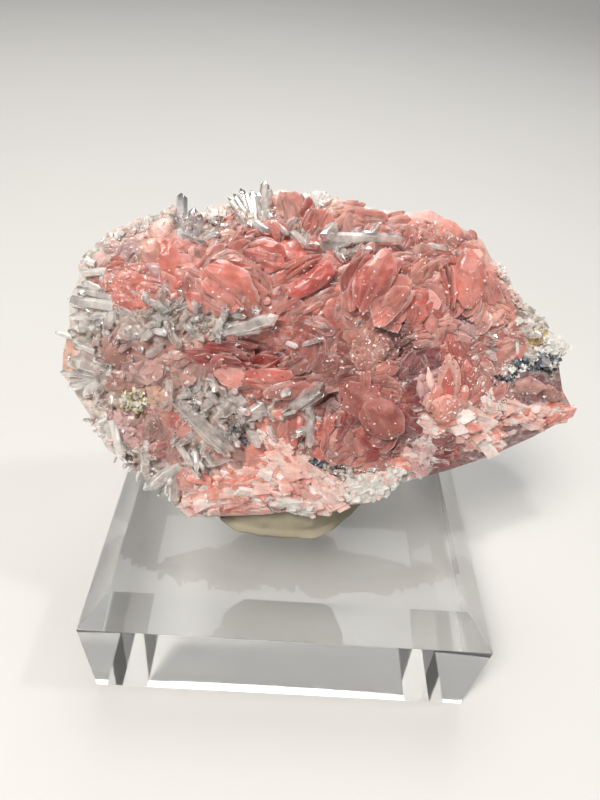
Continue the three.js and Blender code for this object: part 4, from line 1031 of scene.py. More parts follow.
# Each bed: u, v, reach along, reach across, turn, count, least and most length, tint.
BEDS = [
    ("cleavage_lower_left", "cleave", [
        (-11.2, 3.2, 3.4, 1.6, 6, 40, 0.8, 2.6, "plates"),
        (-12.6, 3.4, 2.0, 1.6, 60, 16, 0.8, 2.4, "plates"),
        (-11.2, 3.6, 2.6, 1.2, 28, 12, 2.8, 4.4, "plates"),
    ]),
    ("cleavage_lower_middle", "cleave", [
        (-6.4, 5.8, 3.8, 2.4, -10, 30, 1.2, 3.0, "plates"),
        (-2.0, 7.8, 3.0, 2.2, -38, 50, 0.8, 3, "plates"), (-7.4, 6.6, 2.4, 1.4, 34, 9, 3.4, 5.0, "salmon"),
        (-3.6, 5.8, 1.6, 1.2, 60, 6, 2.6, 4, "salmon"), (-1.2, 8.6, 2.4, 1.2, -42, 14, 2.6, 5, "plates"),
        (2.4, 6.0, 3.4, 2.0, -38, 80, 0.9, 3.6, "plates"), (-0.6, 3.6, 3.4, 1.0, -12, 60, 0.6, 1.8, "edge"),
        (-2.4, 11.0, 3.6, 0.8, -30, 40, 0.7, 2, "plates"),
    ]),
    ("cleavage_rose_column", "cleave", [
        (15.4, 11.6, 2.8, 1.3, 80, 90, 0.6, 1.8, "lilac"),
    ]),
    ("cleavage_lower_right", "cleave", [
        (20.6, 15.9, 3.8, 2.4, -34, 70, 0.9, 3.4, "plates"),
        (20.6, 16.0, 3.0, 1.6, -34, 26, 3.0, 5.2, "plates"),
        (16.2, 15.2, 2.0, 0.8, -30, 60, 0.6, 1.6, "plates"),
        (23.0, 18.8, 1.7, 1.3, -60, 130, 0.4, 1.0, "chalk"),
    ]),
    ("cleavage_right_ledge", "cleave", [
        (27.2, 17.4, 3.6, 1.0, 8, 60, 0.5, 1.5, "plates"),
        (26.6, 17.6, 3.2, 0.8, -28, 50, 0.7, 2, "plates"),
    ]),
    ("cleavage_right_nub", "cleave", [
        (31.0, 18.0, 1.2, 1.0, 20, 20, 1.0, 2.2, "salmon"),
    ]),
    ("cleavage_plum_lump", "cleave", [
        (17.7, 11.2, 1.7, 1.2, 20, 40, 0.8, 1.8, "plum"),
    ]),
    ("milky_quartz_foot", "milky", [
        (8.8, 6.6, 3.8, 1.8, 18, 330, 0.3, 1.0, "chalk"), (12.0, 8.6, 1.6, 1.0, 30, 70, 0.3, 0.8, "chalk"),
    ]),
    ("milky_quartz_right_tip", "milky", [
        (28.8, 26.4, 1.9, 0.9, -20, 90, 0.4, 1.1, "milk"),
        (25.6, 28.2, 1.6, 1.0, -30, 60, 0.4, 1, "earthy"), (26.7, 27.3, 0.8, 0.7, 0, 60, 0.4, 1.0, "honey"),
    ]),
    ("milky_quartz_top_knob", "milky", [
        (-0.4, 40.4, 1.5, 0.7, 0, 70, 0.4, 1, "milk"),
    ]),
    ("sphalerite_right", "ore", [
        (28.6, 24.8, 1.5, 1.2, 0, 150, 0.2, 0.55, "sulfide"),
        (26.0, 23.8, 1.9, 0.9, 12, 130, 0.2, 0.55, "sulfide"),
        (23.7, 21.9, 1.6, 0.8, 20, 90, 0.2, 0.55, "sulfide"),
        (24.4, 18.1, 0.6, 0.9, 0, 26, 0.2, 0.5, "sulfide"),
    ]),
    ("sphalerite_middle", "ore", [
        (2.0, 9.5, 1.0, 0.6, 0, 50, 0.2, 0.55, "sulfide"),
        (-2.9, 10.1, 0.5, 0.5, 0, 14, 0.2, 0.5, "sulfide"),
    ]),
    ("sphalerite_left", "ore", [
        (-8.0, 13.0, 0.9, 0.8, 0, 40, 0.2, 0.55, "sulfide"),
        (-7.0, 11.6, 0.8, 0.6, 0, 30, 0.2, 0.5, "sulfide"),
        (-4.6, 7.7, 0.5, 0.4, 0, 12, 0.2, 0.4, "sulfide"), (1.9, 4.8, 0.5, 0.4, 0, 12, 0.2, 0.4, "sulfide"),
    ]),
    ("rim_crumbs", "milky", [
        (-25.5, 31.8, 1.6, 0.6, 58, 90, 0.2, 0.7, "edge"),
        (-23.0, 34.4, 2.0, 0.6, 38, 120, 0.2, 0.7, "edge"),
        (-19.8, 36.2, 2.0, 0.5, 28, 110, 0.2, 0.7, "edge"),
        (-16.9, 37.5, 1.2, 0.5, 30, 60, 0.2, 0.7, "edge"),
        (-11.6, 38.1, 1.8, 0.6, 20, 90, 0.2, 0.7, "edge"),
        (-7.3, 38.2, 1.9, 1.2, 10, 110, 0.2, 0.8, "edge"),
        (21.2, 34.3, 1.2, 0.4, -45, 60, 0.2, 0.6, "edge"),
        (23.3, 31.6, 1.4, 0.4, -50, 60, 0.2, 0.6, "edge"),
        (25.9, 29.4, 2.0, 0.4, -38, 90, 0.3, 0.9, "earthy"),
        (24.6, 23.0, 1.8, 0.8, 15, 60, 0.25, 0.8, "milk"),
        (27.6, 25.6, 1.8, 0.7, -10, 60, 0.2, 0.7, "milk"),
    ]),
    ("sugar_crumbs", "milky", [
        (7.0, 24.6, 2.0, 2.6, 0, 220, 0.12, 0.36, "sugar"),
        (-21.4, 29.2, 2.0, 1.6, 0, 120, 0.12, 0.32, "coral"),
        (8.6, 21.0, 2.0, 1.0, 0, 60, 0.12, 0.3, "rose"), (18.6, 23.6, 1.8, 1.8, 0, 80, 0.12, 0.32, "rose"),
    ]),
    ("pyrite_left", "grit", [
        (-20.3, 15.9, 1.9, 1.4, 20, 230, 0.2, 0.6, "brassy"),
        (-19.4, 14.0, 1.2, 0.4, 0, 30, 0.2, 0.5, "rust"),
    ]),
]


# ---------------------------------------------------------------- shader helpers


def feed(tree, value, socket):
    """Give a socket a link from another socket, a colour or a plain number."""
    if isinstance(value, bpy.types.NodeSocket):
        tree.links.new(value, socket)
    elif socket.type == "RGBA":
        socket.default_value = (*value, 1)
    else:
        socket.default_value = value


def node_of(tree, kind, **inputs):
    """A new node with some of its inputs fed; an underscore in a name stands for a space."""
    node = tree.nodes.new(kind)
    for name, value in inputs.items():
        feed(tree, value, node.inputs[name.replace("_", " ")])
    return node


def material_of(name, paint):
    """A material of one shader, which takes the values that paint gives for its sockets."""
    material = bpy.data.materials.new(name)
    material.use_nodes = True
    tree = material.node_tree
    tree.nodes.clear()
    principled = node_of(tree, "ShaderNodeBsdfPrincipled", **paint(tree))
    node_of(tree, "ShaderNodeOutputMaterial", Surface=principled.outputs["BSDF"])
    return material


def attribute(tree, name, output="Color"):
    """One of the layers that a heap writes into its mesh."""
    node = tree.nodes.new("ShaderNodeAttribute")
    node.attribute_name = name
    return node.outputs[output]


def own_place(tree):
    """Place in the object's own metres."""
    return tree.nodes.new("ShaderNodeTexCoord").outputs["Object"]


def stretched(tree, place, scale):
    """A place scaled along each axis."""
    return node_of(tree, "ShaderNodeMapping", Scale=scale, Vector=place).outputs["Vector"]


def noise_of(tree, scale, detail=4, roughness=0.6, stretch=None):
    """Noise in the object's own metres; scale is in waves per metre."""
    place = own_place(tree)
    if stretch:
        place = stretched(tree, place, stretch)
    node = node_of(tree, "ShaderNodeTexNoise", Scale=scale, Detail=detail, Roughness=roughness,
                   Vector=place)
    return node.outputs["Fac"]


def growth_noise(tree, scale, detail):
    """Noise over each crystal's distance from its root, bearing and seed: streaks along its leaves."""
    place = stretched(tree, attribute(tree, "Growth", "Vector"), scale)
    return node_of(tree, "ShaderNodeTexNoise", Scale=1.0, Detail=detail, Vector=place).outputs["Fac"]


def facets_of(tree, scale):
    """Small flat cells, for a surface of many tiny faces."""
    return node_of(tree, "ShaderNodeTexVoronoi", Scale=scale, Vector=own_place(tree)).outputs["Distance"]


def remap(tree, value, low, high, to_low, to_high):
    """A value carried from one range to another, and kept inside it."""
    node = node_of(tree, "ShaderNodeMapRange", From_Min=low, From_Max=high, To_Min=to_low,
                   To_Max=to_high, Value=value)
    return node.outputs["Result"]


def computed(tree, operation, first, second, clamp=False):
    """Arithmetic on two values, each a socket or a plain number."""
    node = tree.nodes.new("ShaderNodeMath")
    node.operation = operation
    node.use_clamp = clamp
    feed(tree, first, node.inputs[0])
    feed(tree, second, node.inputs[1])
    return node.outputs[0]


def mixed(tree, factor, first, second, blend="MIX"):
    """Two colours mixed; either may be a socket or a plain colour."""
    node = tree.nodes.new("ShaderNodeMix")
    node.data_type = "RGBA"
    node.blend_type = blend
    # Sockets 0, 6 and 7 are the factor and the two colours.
    for index, value in ((0, factor), (6, first), (7, second)):
        feed(tree, value, node.inputs[index])
    return node.outputs[2]


def bumped(tree, height, strength, distance, over=None):
    """A normal raised by a height, in metres, on top of another normal if there is one."""
    node = node_of(tree, "ShaderNodeBump", Strength=strength, Distance=distance, Height=height)
    if over:
        tree.links.new(over, node.inputs["Normal"])
    return node.outputs["Normal"]


# ---------------------------------------------------------------- materials


def paint_rhodochrosite(tree):
    """Satin pink to coral, clouded and streaked, with pale broken rims that are partly the thin edges' own
    paler colour and partly painted highlight, and a little light inside.
    """
    clouds = remap(tree, noise_of(tree, 380, 6, 0.66), 0.3, 0.7, 0.64, 1.22)
    colour = mixed(tree, 1.0, attribute(tree, "Tint"), clouds, "MULTIPLY")
    patches = remap(tree, noise_of(tree, 130, 3, 0.5), 0.35, 0.65, 0.86, 1.1)
    colour = mixed(tree, 1.0, colour, patches, "MULTIPLY")
    streaks = growth_noise(tree, (0.35, 9, 1), 4)
    colour = mixed(tree, remap(tree, streaks, 0.46, 0.7, 0, 0.28), colour, TINTS["blush"])
    veils = remap(tree, noise_of(tree, 260, 5, 0.7), 0.5, 0.7, 0, 0.34)
    colour = mixed(tree, veils, colour, TINTS["blush"])
    # Near-white rims: partly the thin edges' paler colour, partly painted highlight where light catches
    # them.
    edge = computed(tree, "POWER", attribute(tree, "Rim", "Fac"), 22.0)
    broken = remap(tree, noise_of(tree, 560, 3), 0.4, 0.6, 0.0, 0.75)
    colour = mixed(tree, computed(tree, "MULTIPLY", edge, broken), colour, TINTS["frost"])
    fine = bumped(tree, facets_of(tree, 700), 0.5, 0.0004)
    fine = bumped(tree, noise_of(tree, 1300, 6, 0.7), 0.4, 0.00012, fine)
    return {
        "Base Color": colour,
        "Roughness": remap(tree, growth_noise(tree, (0, 0, 9), 0), 0.35, 0.65, 0.3, 0.55),
        "IOR": 1.6,
        "Subsurface Weight": 0.5,
        "Subsurface Scale": 0.0005,
        "Subsurface Radius": (1.0, 0.75, 0.7),
        "Transmission Weight": 0.04,
        "Coat Weight": 0.3,
        "Coat Roughness": 0.05,
        "Normal": bumped(tree, streaks, 0.7, 0.00015, fine),
    }


def paint_quartz(tree):
    """Glass, clear or milky; the rims layer says how milky."""
    veil = remap(tree, noise_of(tree, 600, 3, 0.55), 0.4, 0.75, -0.15, 0.45)
    cloud = computed(tree, "ADD", attribute(tree, "Rim", "Fac"), veil, clamp=True)
    return {
        "Base Color": mixed(tree, 0.4, attribute(tree, "Tint"), (1.0, 0.92, 0.88)),
        "Roughness": remap(tree, cloud, 0, 1, 0.04, 0.34),
        "IOR": 1.544,
        "Subsurface Weight": 0.6,
        "Subsurface Scale": 0.0012,
        "Subsurface Radius": (1.0, 0.9, 0.85),
        "Transmission Weight": remap(tree, cloud, 0, 1, 0.9, 0.15),
        "Normal": bumped(tree, noise_of(tree, 3200, 2, 0.5), 0.15, 0.00005),
    }


def paint_rock(tree):
    """The ground's many minerals; the finish layer says how metallic, clear and pearly."""
    finish = attribute(tree, "Finish")
    metal, clear, pearl = node_of(tree, "ShaderNodeSeparateColor", Color=finish).outputs
    mottles = remap(tree, noise_of(tree, 1100, 6, 0.7), 0.3, 0.7, 0.7, 1.25)
    colour = mixed(tree, 1.0, attribute(tree, "Tint"), mottles, "MULTIPLY")
    streaks = remap(tree, noise_of(tree, 900, 5, 0.75, (0.35, 1.6, 1.6)), 0.5, 0.62, 0, 0.9)
    colour = mixed(tree, computed(tree, "MULTIPLY", streaks, pearl), colour, TINTS["milk"])
    blotches = remap(tree, noise_of(tree, 300, 3, 0.6), 0.52, 0.68, 0, 0.55)
    colour = mixed(tree, computed(tree, "MULTIPLY", blotches, pearl), colour, TINTS["coral"])
    # Pressed crystals' edges are mixed towards milk: partly their own paler edges, partly painted
    # highlight.
    rims = remap(tree, attribute(tree, "Rim", "Fac"), 0.6, 1, 0, 0.3)
    return {
        "Base Color": mixed(tree, rims, colour, TINTS["milk"]),
        "Metallic": metal,
        "Roughness": remap(tree, noise_of(tree, 2400, 3), 0.3, 0.7, 0.18, 0.5),
        "IOR": 1.57,
        "Subsurface Weight": remap(tree, clear, 0, 1, 0.15, 0.5),
        "Subsurface Scale": 0.0005,
        "Subsurface Radius": (1.0, 0.75, 0.7),
        "Coat Weight": 0.3,
        "Coat Roughness": 0.1,
        "Normal": bumped(tree, noise_of(tree, 2600, 6, 0.7), 0.5, 0.00012),
    }


def paint_putty(tree):
    """Matt grey-beige putty."""
    return {
        "Base Color": mixed(tree, noise_of(tree, 260, 5, 0.6), srgb(150, 142, 120), srgb(186, 176, 152)),
        "Roughness": 0.62,
        "IOR": 1.45,
        "Normal": bumped(tree, noise_of(tree, 900, 6, 0.6), 0.4, 0.0002),
    }


def paint_acrylic(tree):
    """Clear acrylic with faint scuffs."""
    return {
        "Base Color": (0.985, 0.99, 0.99),
        "Roughness": remap(tree, noise_of(tree, 500, 6, 0.75), 0.45, 0.8, 0.0, 0.12),
        "IOR": 1.49,
        "Transmission Weight": 1.0,
        "Normal": bumped(tree, noise_of(tree, 60, 2, 0.4), 0.02, 0.0005),
    }


def paint_floor(tree):
    """A plain pale floor."""
    return {
        "Base Color": mixed(tree, noise_of(tree, 8, 3), srgb(214, 212, 208), srgb(222, 220, 216)),
        "Roughness": 0.7,
    }


RHODOCHROSITE = material_of("rhodochrosite", paint_rhodochrosite)
QUARTZ = material_of("quartz", paint_quartz)
ROCK = material_of("rock", paint_rock)

# Angles, in degrees, over which an edge is drawn sharp.
SHARP_BLADE = 50
SHARP_PRISM = 12
SHARP_CHIP = 25
SHARP_ROCK = 40
SHARP_PUTTY = 60

# ---------------------------------------------------------------- crystal pieces


def slot_of(node):
    """Name of the material slot that the record gives to a node."""
    return next(part["material_slot"] for part in frame["record"]["subparts"] if part["node"] == node)


def grow_blades():
    """The listed rhodochrosite; gives back its heaps."""
    heaps = []
    for number, (node, rows) in enumerate(BLADES.items()):
        rng = random.Random(100 + number)
        heap = Heap()
        for row in rows:
            blade_stack(heap, rng, row)
        heap.piece(node + "_grown", RHODOCHROSITE, SHARP_BLADE, slot_of(node), node)
        heaps.append(heap)
    return heaps


def place_prisms(heap, rng, rows):
    """Quartz crystals from their rows."""
    for root, tip, width, tint, milk in rows:
        prism(heap, rng, seated(*root), seated(*tip), width, tint, milk)


def grow_prisms():
    """The listed quartz."""
    for number, (node, rows) in enumerate(PRISMS.items()):
        heap = Heap()
        place_prisms(heap, random.Random(300 + number), rows)
        heap.piece(node + "_grown", QUARTZ, SHARP_PRISM, slot_of(node), node)


LOOSE_COUNT = 64      # milky beds of more pieces than this are packed flat, like a broken surface
FLAT_TUMBLE = 20      # the most that a piece is tipped either way, in degrees, when packed flat or not
ANY_TUMBLE = 180


def grow_bed(heap, rng, kind, u, v, reach_u, reach_v, turn, count, least, most, tint):
    """Cleavage slivers, milky crumbs or ore grains heaped over an oval."""
    for _ in range(count):
        far, bearing = math.sqrt(rng.random()), rng.uniform(0, FULL_TURN)
        east, north = swung(far * reach_u * math.cos(bearing), far * reach_v * math.sin(bearing), turn)
        length = rng.uniform(least, most)
        sunk = 0.3 * far + 0.15 * (kind == "milky")
        place = seated(u + east, v + north, rng.uniform(-0.35, 0.3) - sunk)
        if kind == "cleave":
            slim = rng.uniform(0.25, 0.8 if length < 2.4 else 0.45)
            size = (length, length * slim, rng.uniform(0.35, 0.8))
            chip(heap, rng, place, size, turn + rng.gauss(0, 11), rng.gauss(0, 8),
                 rng.gauss(12, 13), tint, FINISHES[kind], 0.3)
        else:
            size = (length, length * rng.uniform(0.6, 1), length * rng.uniform(0.6, 1))
            tumble = FLAT_TUMBLE if kind == "milky" and count > LOOSE_COUNT else ANY_TUMBLE
            chip(heap, rng, place, size, rng.uniform(0, 360), rng.uniform(-tumble, tumble),
                 rng.uniform(-tumble, tumble), tint, FINISHES[kind])


def grow_beds():
    """The broken cleavage, milky quartz and ore; the crumbs among them stand for no CAD node."""
    for number, (node, kind, beds) in enumerate(BEDS):
        rng = random.Random(500 + number)
        heap = Heap()
        for bed in beds:
            grow_bed(heap, rng, kind, *bed)
        stands_for = node if node in frame["nodes"] else None
        slot = slot_of(node) if stands_for else "milky_quartz"
        heap.piece(node + "_grown", ROCK, SHARP_CHIP, slot, stands_for)


ROSETTES = 460
DARK_TINTS = ("brown", "plum", "dusk", "deep")
QUARTERS = ("lower_left", "lower_right", "upper_left", "upper_right")
QUARTER_HEIGHT = 21           # the quarters meet here and at the rock's centre
LEAF_NEAR_RIM = 2.4           # leaves closer to the outline than this are smaller


def flow(u, v):
    """The way that neighbouring small blades lie, from -1 to 1, drifting slowly over the face."""
    return (np.sin(0.31 * u + 0.17 * v + 0.6) + 0.7 * np.sin(0.45 * v - 0.22 * u + 2.1)
            + 0.4 * np.sin(0.8 * u + 0.63 * v)) / 2.1


def grow_rosette(heap, rng, u, v, tint_name):
    """Small blades that stand in a fan like the leaves of a book."""
    turn = 200 * float(flow(u, v)) + rng.gauss(0, 22)
    roll = rng.uniform(3, 24) * rng.choice((-1, 1))
    length = rng.uniform(1.8, 4.4)
    gap = rng.uniform(0.16, 0.34)
    raised = 0.4 * (rng.random() < 0.2)
    for leaf in range(rng.randint(3, 6)):
        east, north = swung(0, leaf * gap * rng.uniform(0.8, 1.2), turn)
        spot = (u + east + rng.gauss(0, 0.15), v + north + rng.gauss(0, 0.15))
        sunk = rng.uniform(-0.6, -0.05)
        paler = rng.triangular(0, 0.5, 0) * (0.3 if tint_name in DARK_TINTS else 1)
        tint = np.array(TINTS[tint_name]) * (1 - paler) + np.array(TINTS["blush"]) * paler
        size = length * rng.uniform(0.75, 1.1) * (1 if inside_outline(*spot, LEAF_NEAR_RIM) else 0.6)
        # Leaves sunk deeper are painted darker: painted shade in the hollows between them.
        blade(heap, rng, seated(*spot, sunk + raised), size, size * rng.uniform(0.5, 0.72),
              rng.uniform(0.22, 0.45), turn + rng.gauss(0, 7), rng.gauss(0, 5),
              roll + 2 * leaf + rng.gauss(0, 4), tint * (1.12 + 0.85 * sunk),
              rng.uniform(1.0, 1.25), PLAIN, 3)


def grow_rosettes():
    """Rosettes over all the petal ground, in one heap for each quarter; gives back the heaps."""
    rng = random.Random(41)
    heaps = [Heap() for _ in QUARTERS]
    made = 0
    for u, v in places_inside(rng, 1.3):
        kind, tint_name = ground_at(u, v)
        if kind != "petal":
            continue
        heap = heaps[(u > ROCK_CENTRE[0]) + 2 * (v > QUARTER_HEIGHT)]
        grow_rosette(heap, rng, u, v, tint_name)
        made += 1
        if made == ROSETTES:
            break
    for name, heap in zip(QUARTERS, heaps):
        heap.piece("small_blades_" + name, RHODOCHROSITE, SHARP_BLADE)
    return heaps


GRAINS = 2400
DROP_FROM = 9                 # depths from which, and towards which, a grain drops
DROP_TOWARDS = -3
DROP_REACH = 14
# Where the grains gather: u, v, radius.
GRAIN_CLUSTERS = [(7.2, 24.4, 3.0), (13.8, 38.4, 2.6), (-21.4, 29.3, 2.6), (17.0, 17.4, 1.6), (20.4, 22.6, 2.6)]


def mesh_below(heaps):
    """A search tree of all the faces of some heaps, on the face's own axes."""
    points, faces, count = [], [], 0
    for grown in heaps:
        points.extend(np.concatenate(grown.points).tolist())
        for blocks in grown.faces.values():
            for block in blocks:
                faces.extend((block + count).tolist())
        count += grown.count
    return BVHTree.FromPolygons(points, faces)


def scatter_grains(heaps):
    """Tiny pale grains dropped onto the blades, most of them on steep edges and where the grains cluster;
    the frost-white ones are painted glints.
    """
    ground = mesh_below(heaps)
    rng = random.Random(47)
    heap = Heap()
    made = 0
    for u, v in places_inside(rng, 0.8):
        start = Vector(placed(u, v, DROP_FROM))
        way = (Vector(placed(u, v, DROP_TOWARDS)) - start).normalized()
        spot, normal, _, _ = ground.ray_cast(start, way, DROP_REACH)
        if spot is None:
            continue
        steep = 1 - abs(normal.dot(way))
        cluster_nearness = max(math.exp(-((u - dusty_u) ** 2 + (v - dusty_v) ** 2) / radius ** 2)
                    for dusty_u, dusty_v, radius in GRAIN_CLUSTERS)
        if rng.random() > 0.015 + 0.5 * steep ** 1.5 + 0.4 * cluster_nearness:
            continue
        length = rng.triangular(0.1, 0.5, 0.12)
        ground_tint = ground_at(u, v)[1]
        # The frost-white grains are painted glints; the others are pale crumbs in the ground's own tints.
        tint = rng.choice(("frost", "blush", ground_tint, ground_tint))
        size = (length, length * rng.uniform(0.3, 0.7), length * rng.uniform(0.2, 0.4))
        chip(heap, rng, spot, size, rng.uniform(0, 360), rng.gauss(0, 25), rng.gauss(0, 25),
             tint, FINISHES["milky"])
        made += 1
        if made == GRAINS:
            break
    heap.piece("bright_grains", ROCK, SHARP_CHIP, "rhodochrosite")


SMALL_PRISMS = 780
SPRAY_CENTRE = (-12, 22)      # small prisms lean away from here
PRISM_NEAR_RIM = 2.2          # prisms closer to the outline than this are shorter


def grow_small_prisms():
    """Small quartz crystals leaning out of the quartz and milky ground, and the lone ones."""
    rng = random.Random(43)
    heap = Heap()
    made = 0
    for u, v in places_inside(rng, 0.5, low=(-29, 1.5), high=(31, 41)):
        kind, _ = ground_at(u, v)
        lower_left = u < -12 and v < 27
        stray = kind == "petal" and rng.random() < (0.8 if lower_left else 0.05)
        if kind not in ("quartz", "milky") and not stray:
            continue
        length = rng.triangular(1.0, 3.8, 1.6) * (1 if kind == "quartz" else 0.55)
        if not inside_outline(u, v, PRISM_NEAR_RIM):
            length *= 0.65
        bearing = math.atan2(v - SPRAY_CENTRE[1], u - SPRAY_CENTRE[0]) + rng.gauss(0, 1.0)
        lift = rng.uniform(0.1, 1.1)
        reach = length * math.cos(lift)
        tip = seated(u + reach * math.cos(bearing), v + reach * math.sin(bearing),
                     -0.4 + length * math.sin(lift))
        prism(heap, rng, seated(u, v, -0.5), tip, length * rng.uniform(0.22, 0.42), "glassy",
              rng.uniform(0, 0.6), 4, (0,))
        made += 1
        if made == SMALL_PRISMS:
            break
    place_prisms(heap, rng, LONE_PRISMS)
    heap.piece("small_prisms", QUARTZ, SHARP_PRISM, "quartz")


# ---------------------------------------------------------------- the rock

FACE_CELLS = 268
RIM_DROP = 0.9                # the face's border is smooth, and this much lower than its relief
BORDER_POWER = 24             # the higher, the narrower that border
# Round the back of the rock from its rim: reach as a share of the outline, depth as one of the thickness.
SIDE_PROFILE = np.array([(1.0, 0.0), (1.0, 0.2), (0.985, 0.36), (0.9, 0.6), (0.7, 0.82), (0.38, 0.96),
                         (0.0, 1.0)])
SIDE_RINGS = 42
MEAN_REACH = 24               # of the outline, from the rock's centre
HALVING_RINGS = (5, 9)        # rings of the side from which on there are half as many points
BLEND_SHARE = 0.36            # depth, as a share of the thickness, by which the outline is regular
FACETS = 420                  # flat facets of the broken sides and back
FACET_STEP = 0.8              # the most that a facet pushes the surface in or out


def rock_front():
    """The rock's face from the pressed map: u, v, points, tints, rims and finishes on a square grid."""
    line = np.linspace(-1, 1, FACE_CELLS)
    s, t = (grid.ravel() for grid in np.meshgrid(line, line, indexing="ij"))
    x, y = s * np.sqrt(1 - t * t / 2), t * np.sqrt(1 - s * s / 2)
    far, bearing = np.hypot(x, y), np.arctan2(y, x)
    reach = far * outline_reach(bearing)
    u = ROCK_CENTRE[0] + reach * np.cos(bearing)
    v = ROCK_CENTRE[1] + reach * np.sin(bearing)
    height, rim, tint, finish = pressed_face().at(u, v)
    border = far ** BORDER_POWER
    depth = relief(u, v) + height * (1 - border) - RIM_DROP * border
    # Milky quartz frosts the upper rim, most of all on the left.
    frosted = np.clip((v - 24) / 8, 0, 1) * np.clip((far - 0.95) / 0.03, 0, 1)
    frosted = frosted[:, None] * np.clip((14 - u) / 6, 0.4, 1)[:, None]
    tint = tint * (1 - frosted) + np.array(TINTS["milk"]) * 0.9 * frosted
    return u, v, placed(u, v, depth).T, tint, rim, finish


def rock_sides(rim_points, rim_out, loop, count):
    """Rings from the rim of the face round to the middle of the back: their points and faces."""
    rings, points, faces = [loop], [], []
    spans = np.hypot(*(np.diff(SIDE_PROFILE, axis=0) * (MEAN_REACH, ROCK_THICKNESS)).T)
    gone = np.concatenate(([0], np.cumsum(spans)))
    for station, run in enumerate(np.linspace(0, gone[-1], SIDE_RINGS + 2)[1:-1]):
        if station in HALVING_RINGS:
            rim_points, rim_out = rim_points[::2], rim_out[::2]
        scale, share = (np.interp(run, gone, column) for column in SIDE_PROFILE.T)
        blend = min(1, share / BLEND_SHARE)
        regular = np.column_stack((rim_out * scale + ROCK_CENTRE, np.zeros(len(rim_out))))
        low = rim_points * (1 - blend) + regular * blend
        low[:, 2] = rim_points[:, 2] * (1 - share) - ROCK_THICKNESS * share
        rings.append(count + np.arange(len(low)))
        count += len(low)
        points.append(low)
        above, below = rings[-2:]
        under = np.roll(below, -1)
        if len(above) == len(below):
            faces.append(np.stack((above, below, under, np.roll(above, -1)), axis=1))
        else:
            first, second, third = above[::2], above[1::2], np.roll(above[::2], -1)
            faces.append(np.stack((first, below, second), axis=1))
            faces.append(np.stack((second, below, under, third), axis=1))
    points.append(np.array([[*ROCK_CENTRE, -ROCK_THICKNESS]]))
    last = rings[-1]
    faces.append(np.stack((last, np.full(len(last), count), np.roll(last, -1)), axis=1))
    return np.concatenate(points), faces


def broken_sides(back, rng, rim_depth):
    """The sides and back pushed in and out as flat broken facets, fading towards the rim."""
    facets = np.array([(rng.uniform(-30, 33), rng.uniform(1, 41), rng.uniform(-18, -2))
                       for _ in range(FACETS)])
    nearest = np.argmin(((back[:, None] - facets[None]) ** 2).sum(axis=2), axis=1)
    slopes = np.array([[rng.gauss(0, 0.35) for _ in range(3)] for _ in facets])
    step = np.clip(((back - facets[nearest]) * slopes[nearest]).sum(axis=1), -FACET_STEP, FACET_STEP)
    outward = back - np.array((*ROCK_CENTRE, -6))
    outward /= np.linalg.norm(outward, axis=1, keepdims=True)
    fade = np.clip((rim_depth - back[:, 2]) / 1.5, 0, 1)
    push = (step + 0.5 * ripple(back, rng, 5) + 0.15 * ripple(back, rng, 1.2)) * fade
    bulge = np.clip((-7 - back[:, 2]) / 4, 0, 1)
    push = np.where(push > 0, push * bulge, push) - 0.5 * fade * (1 - bulge)
    return back + outward * push[:, None]


def side_tints(back, rng):
    """Muted grey, clouded with dull pink, white and rose."""
    shares = np.clip(0.5 + np.stack([ripple(back, rng, span) for span in (9, 6, 3)], axis=1), 0, 1)
    tints = np.array(TINTS["smoke"]) * 0.62 * np.ones((len(back), 1))
    for share, name in zip(shares.T, ("dull", "milk", "rose")):
        weight = (np.clip(share - 0.45, 0, 0.3) / 0.3)[:, None] * 0.6
        tints = tints * (1 - weight) + np.array(TINTS[name]) * 0.8 * weight
    return tints


def grow_rock():
    """The rock: its pressed face, and a broken back joined to the rim of the face."""
    u, v, front, tint, rim, finish = rock_front()
    index = np.arange(FACE_CELLS ** 2).reshape(FACE_CELLS, FACE_CELLS)
    cells = np.stack((index[:-1, :-1], index[1:, :-1], index[1:, 1:], index[:-1, 1:]), axis=-1)
    loop = np.concatenate((index[:-1, 0], index[-1, :-1], index[:0:-1, -1], index[0, :0:-1]))
    rim_out = np.column_stack((u[loop], v[loop])) - ROCK_CENTRE
    back, side_faces = rock_sides(front[loop], rim_out, loop, len(front))
    rng = random.Random(77)
    broken = broken_sides(back, rng, front[loop][:, 2].mean())
    heap = Heap()
    heap.add(
        np.concatenate((front, broken)),
        [cells.reshape(-1, 4), *side_faces],
        np.concatenate((tint, side_tints(back, rng))),
        np.concatenate((rim, np.zeros(len(back)))),
        np.concatenate((finish, np.zeros((len(back), 3)))),
    )
    heap.piece("host_rock_grown", ROCK, SHARP_ROCK, "host_rock", "host_rock")


# ---------------------------------------------------------------- the putty and the block

# Foot of the putty on the block, in world mm, and its rise: share of the foot's reach, height.
PUTTY_FOOT = np.array([
    (-10.6, -3.0), (-10.3, -8.0), (-9.7, -10.7), (-7.6, -12.2), (-4.5, -13.2), (-1.0, -13.0),
    (2.6, -12.6), (5.4, -11.0), (8.0, -8.6), (9.6, -6.3), (10.0, -1.0), (8.5, 3.5), (4.0, 5.6),
    (-1.0, 6.0), (-6.0, 5.0), (-9.5, 1.5),
])
PUTTY_RISE = [(0.97, 0.0), (1.0, 0.15), (1.015, 0.45), (1.0, 0.8), (0.965, 1.05), (0.945, 1.35),
              (0.94, 1.8), (0.935, 2.4), (0.915, 3.0), (0.87, 3.8), (0.79, 4.6), (0.68, 5.2), (0.55, 5.7),
              (0.4, 6.0), (0.2, 6.2)]
PUTTY_MIDDLE = np.array((-0.4, -3.5))
PUTTY_SIDES = 260
PUTTY_GAP = 0.02              # between the putty's foot and the block


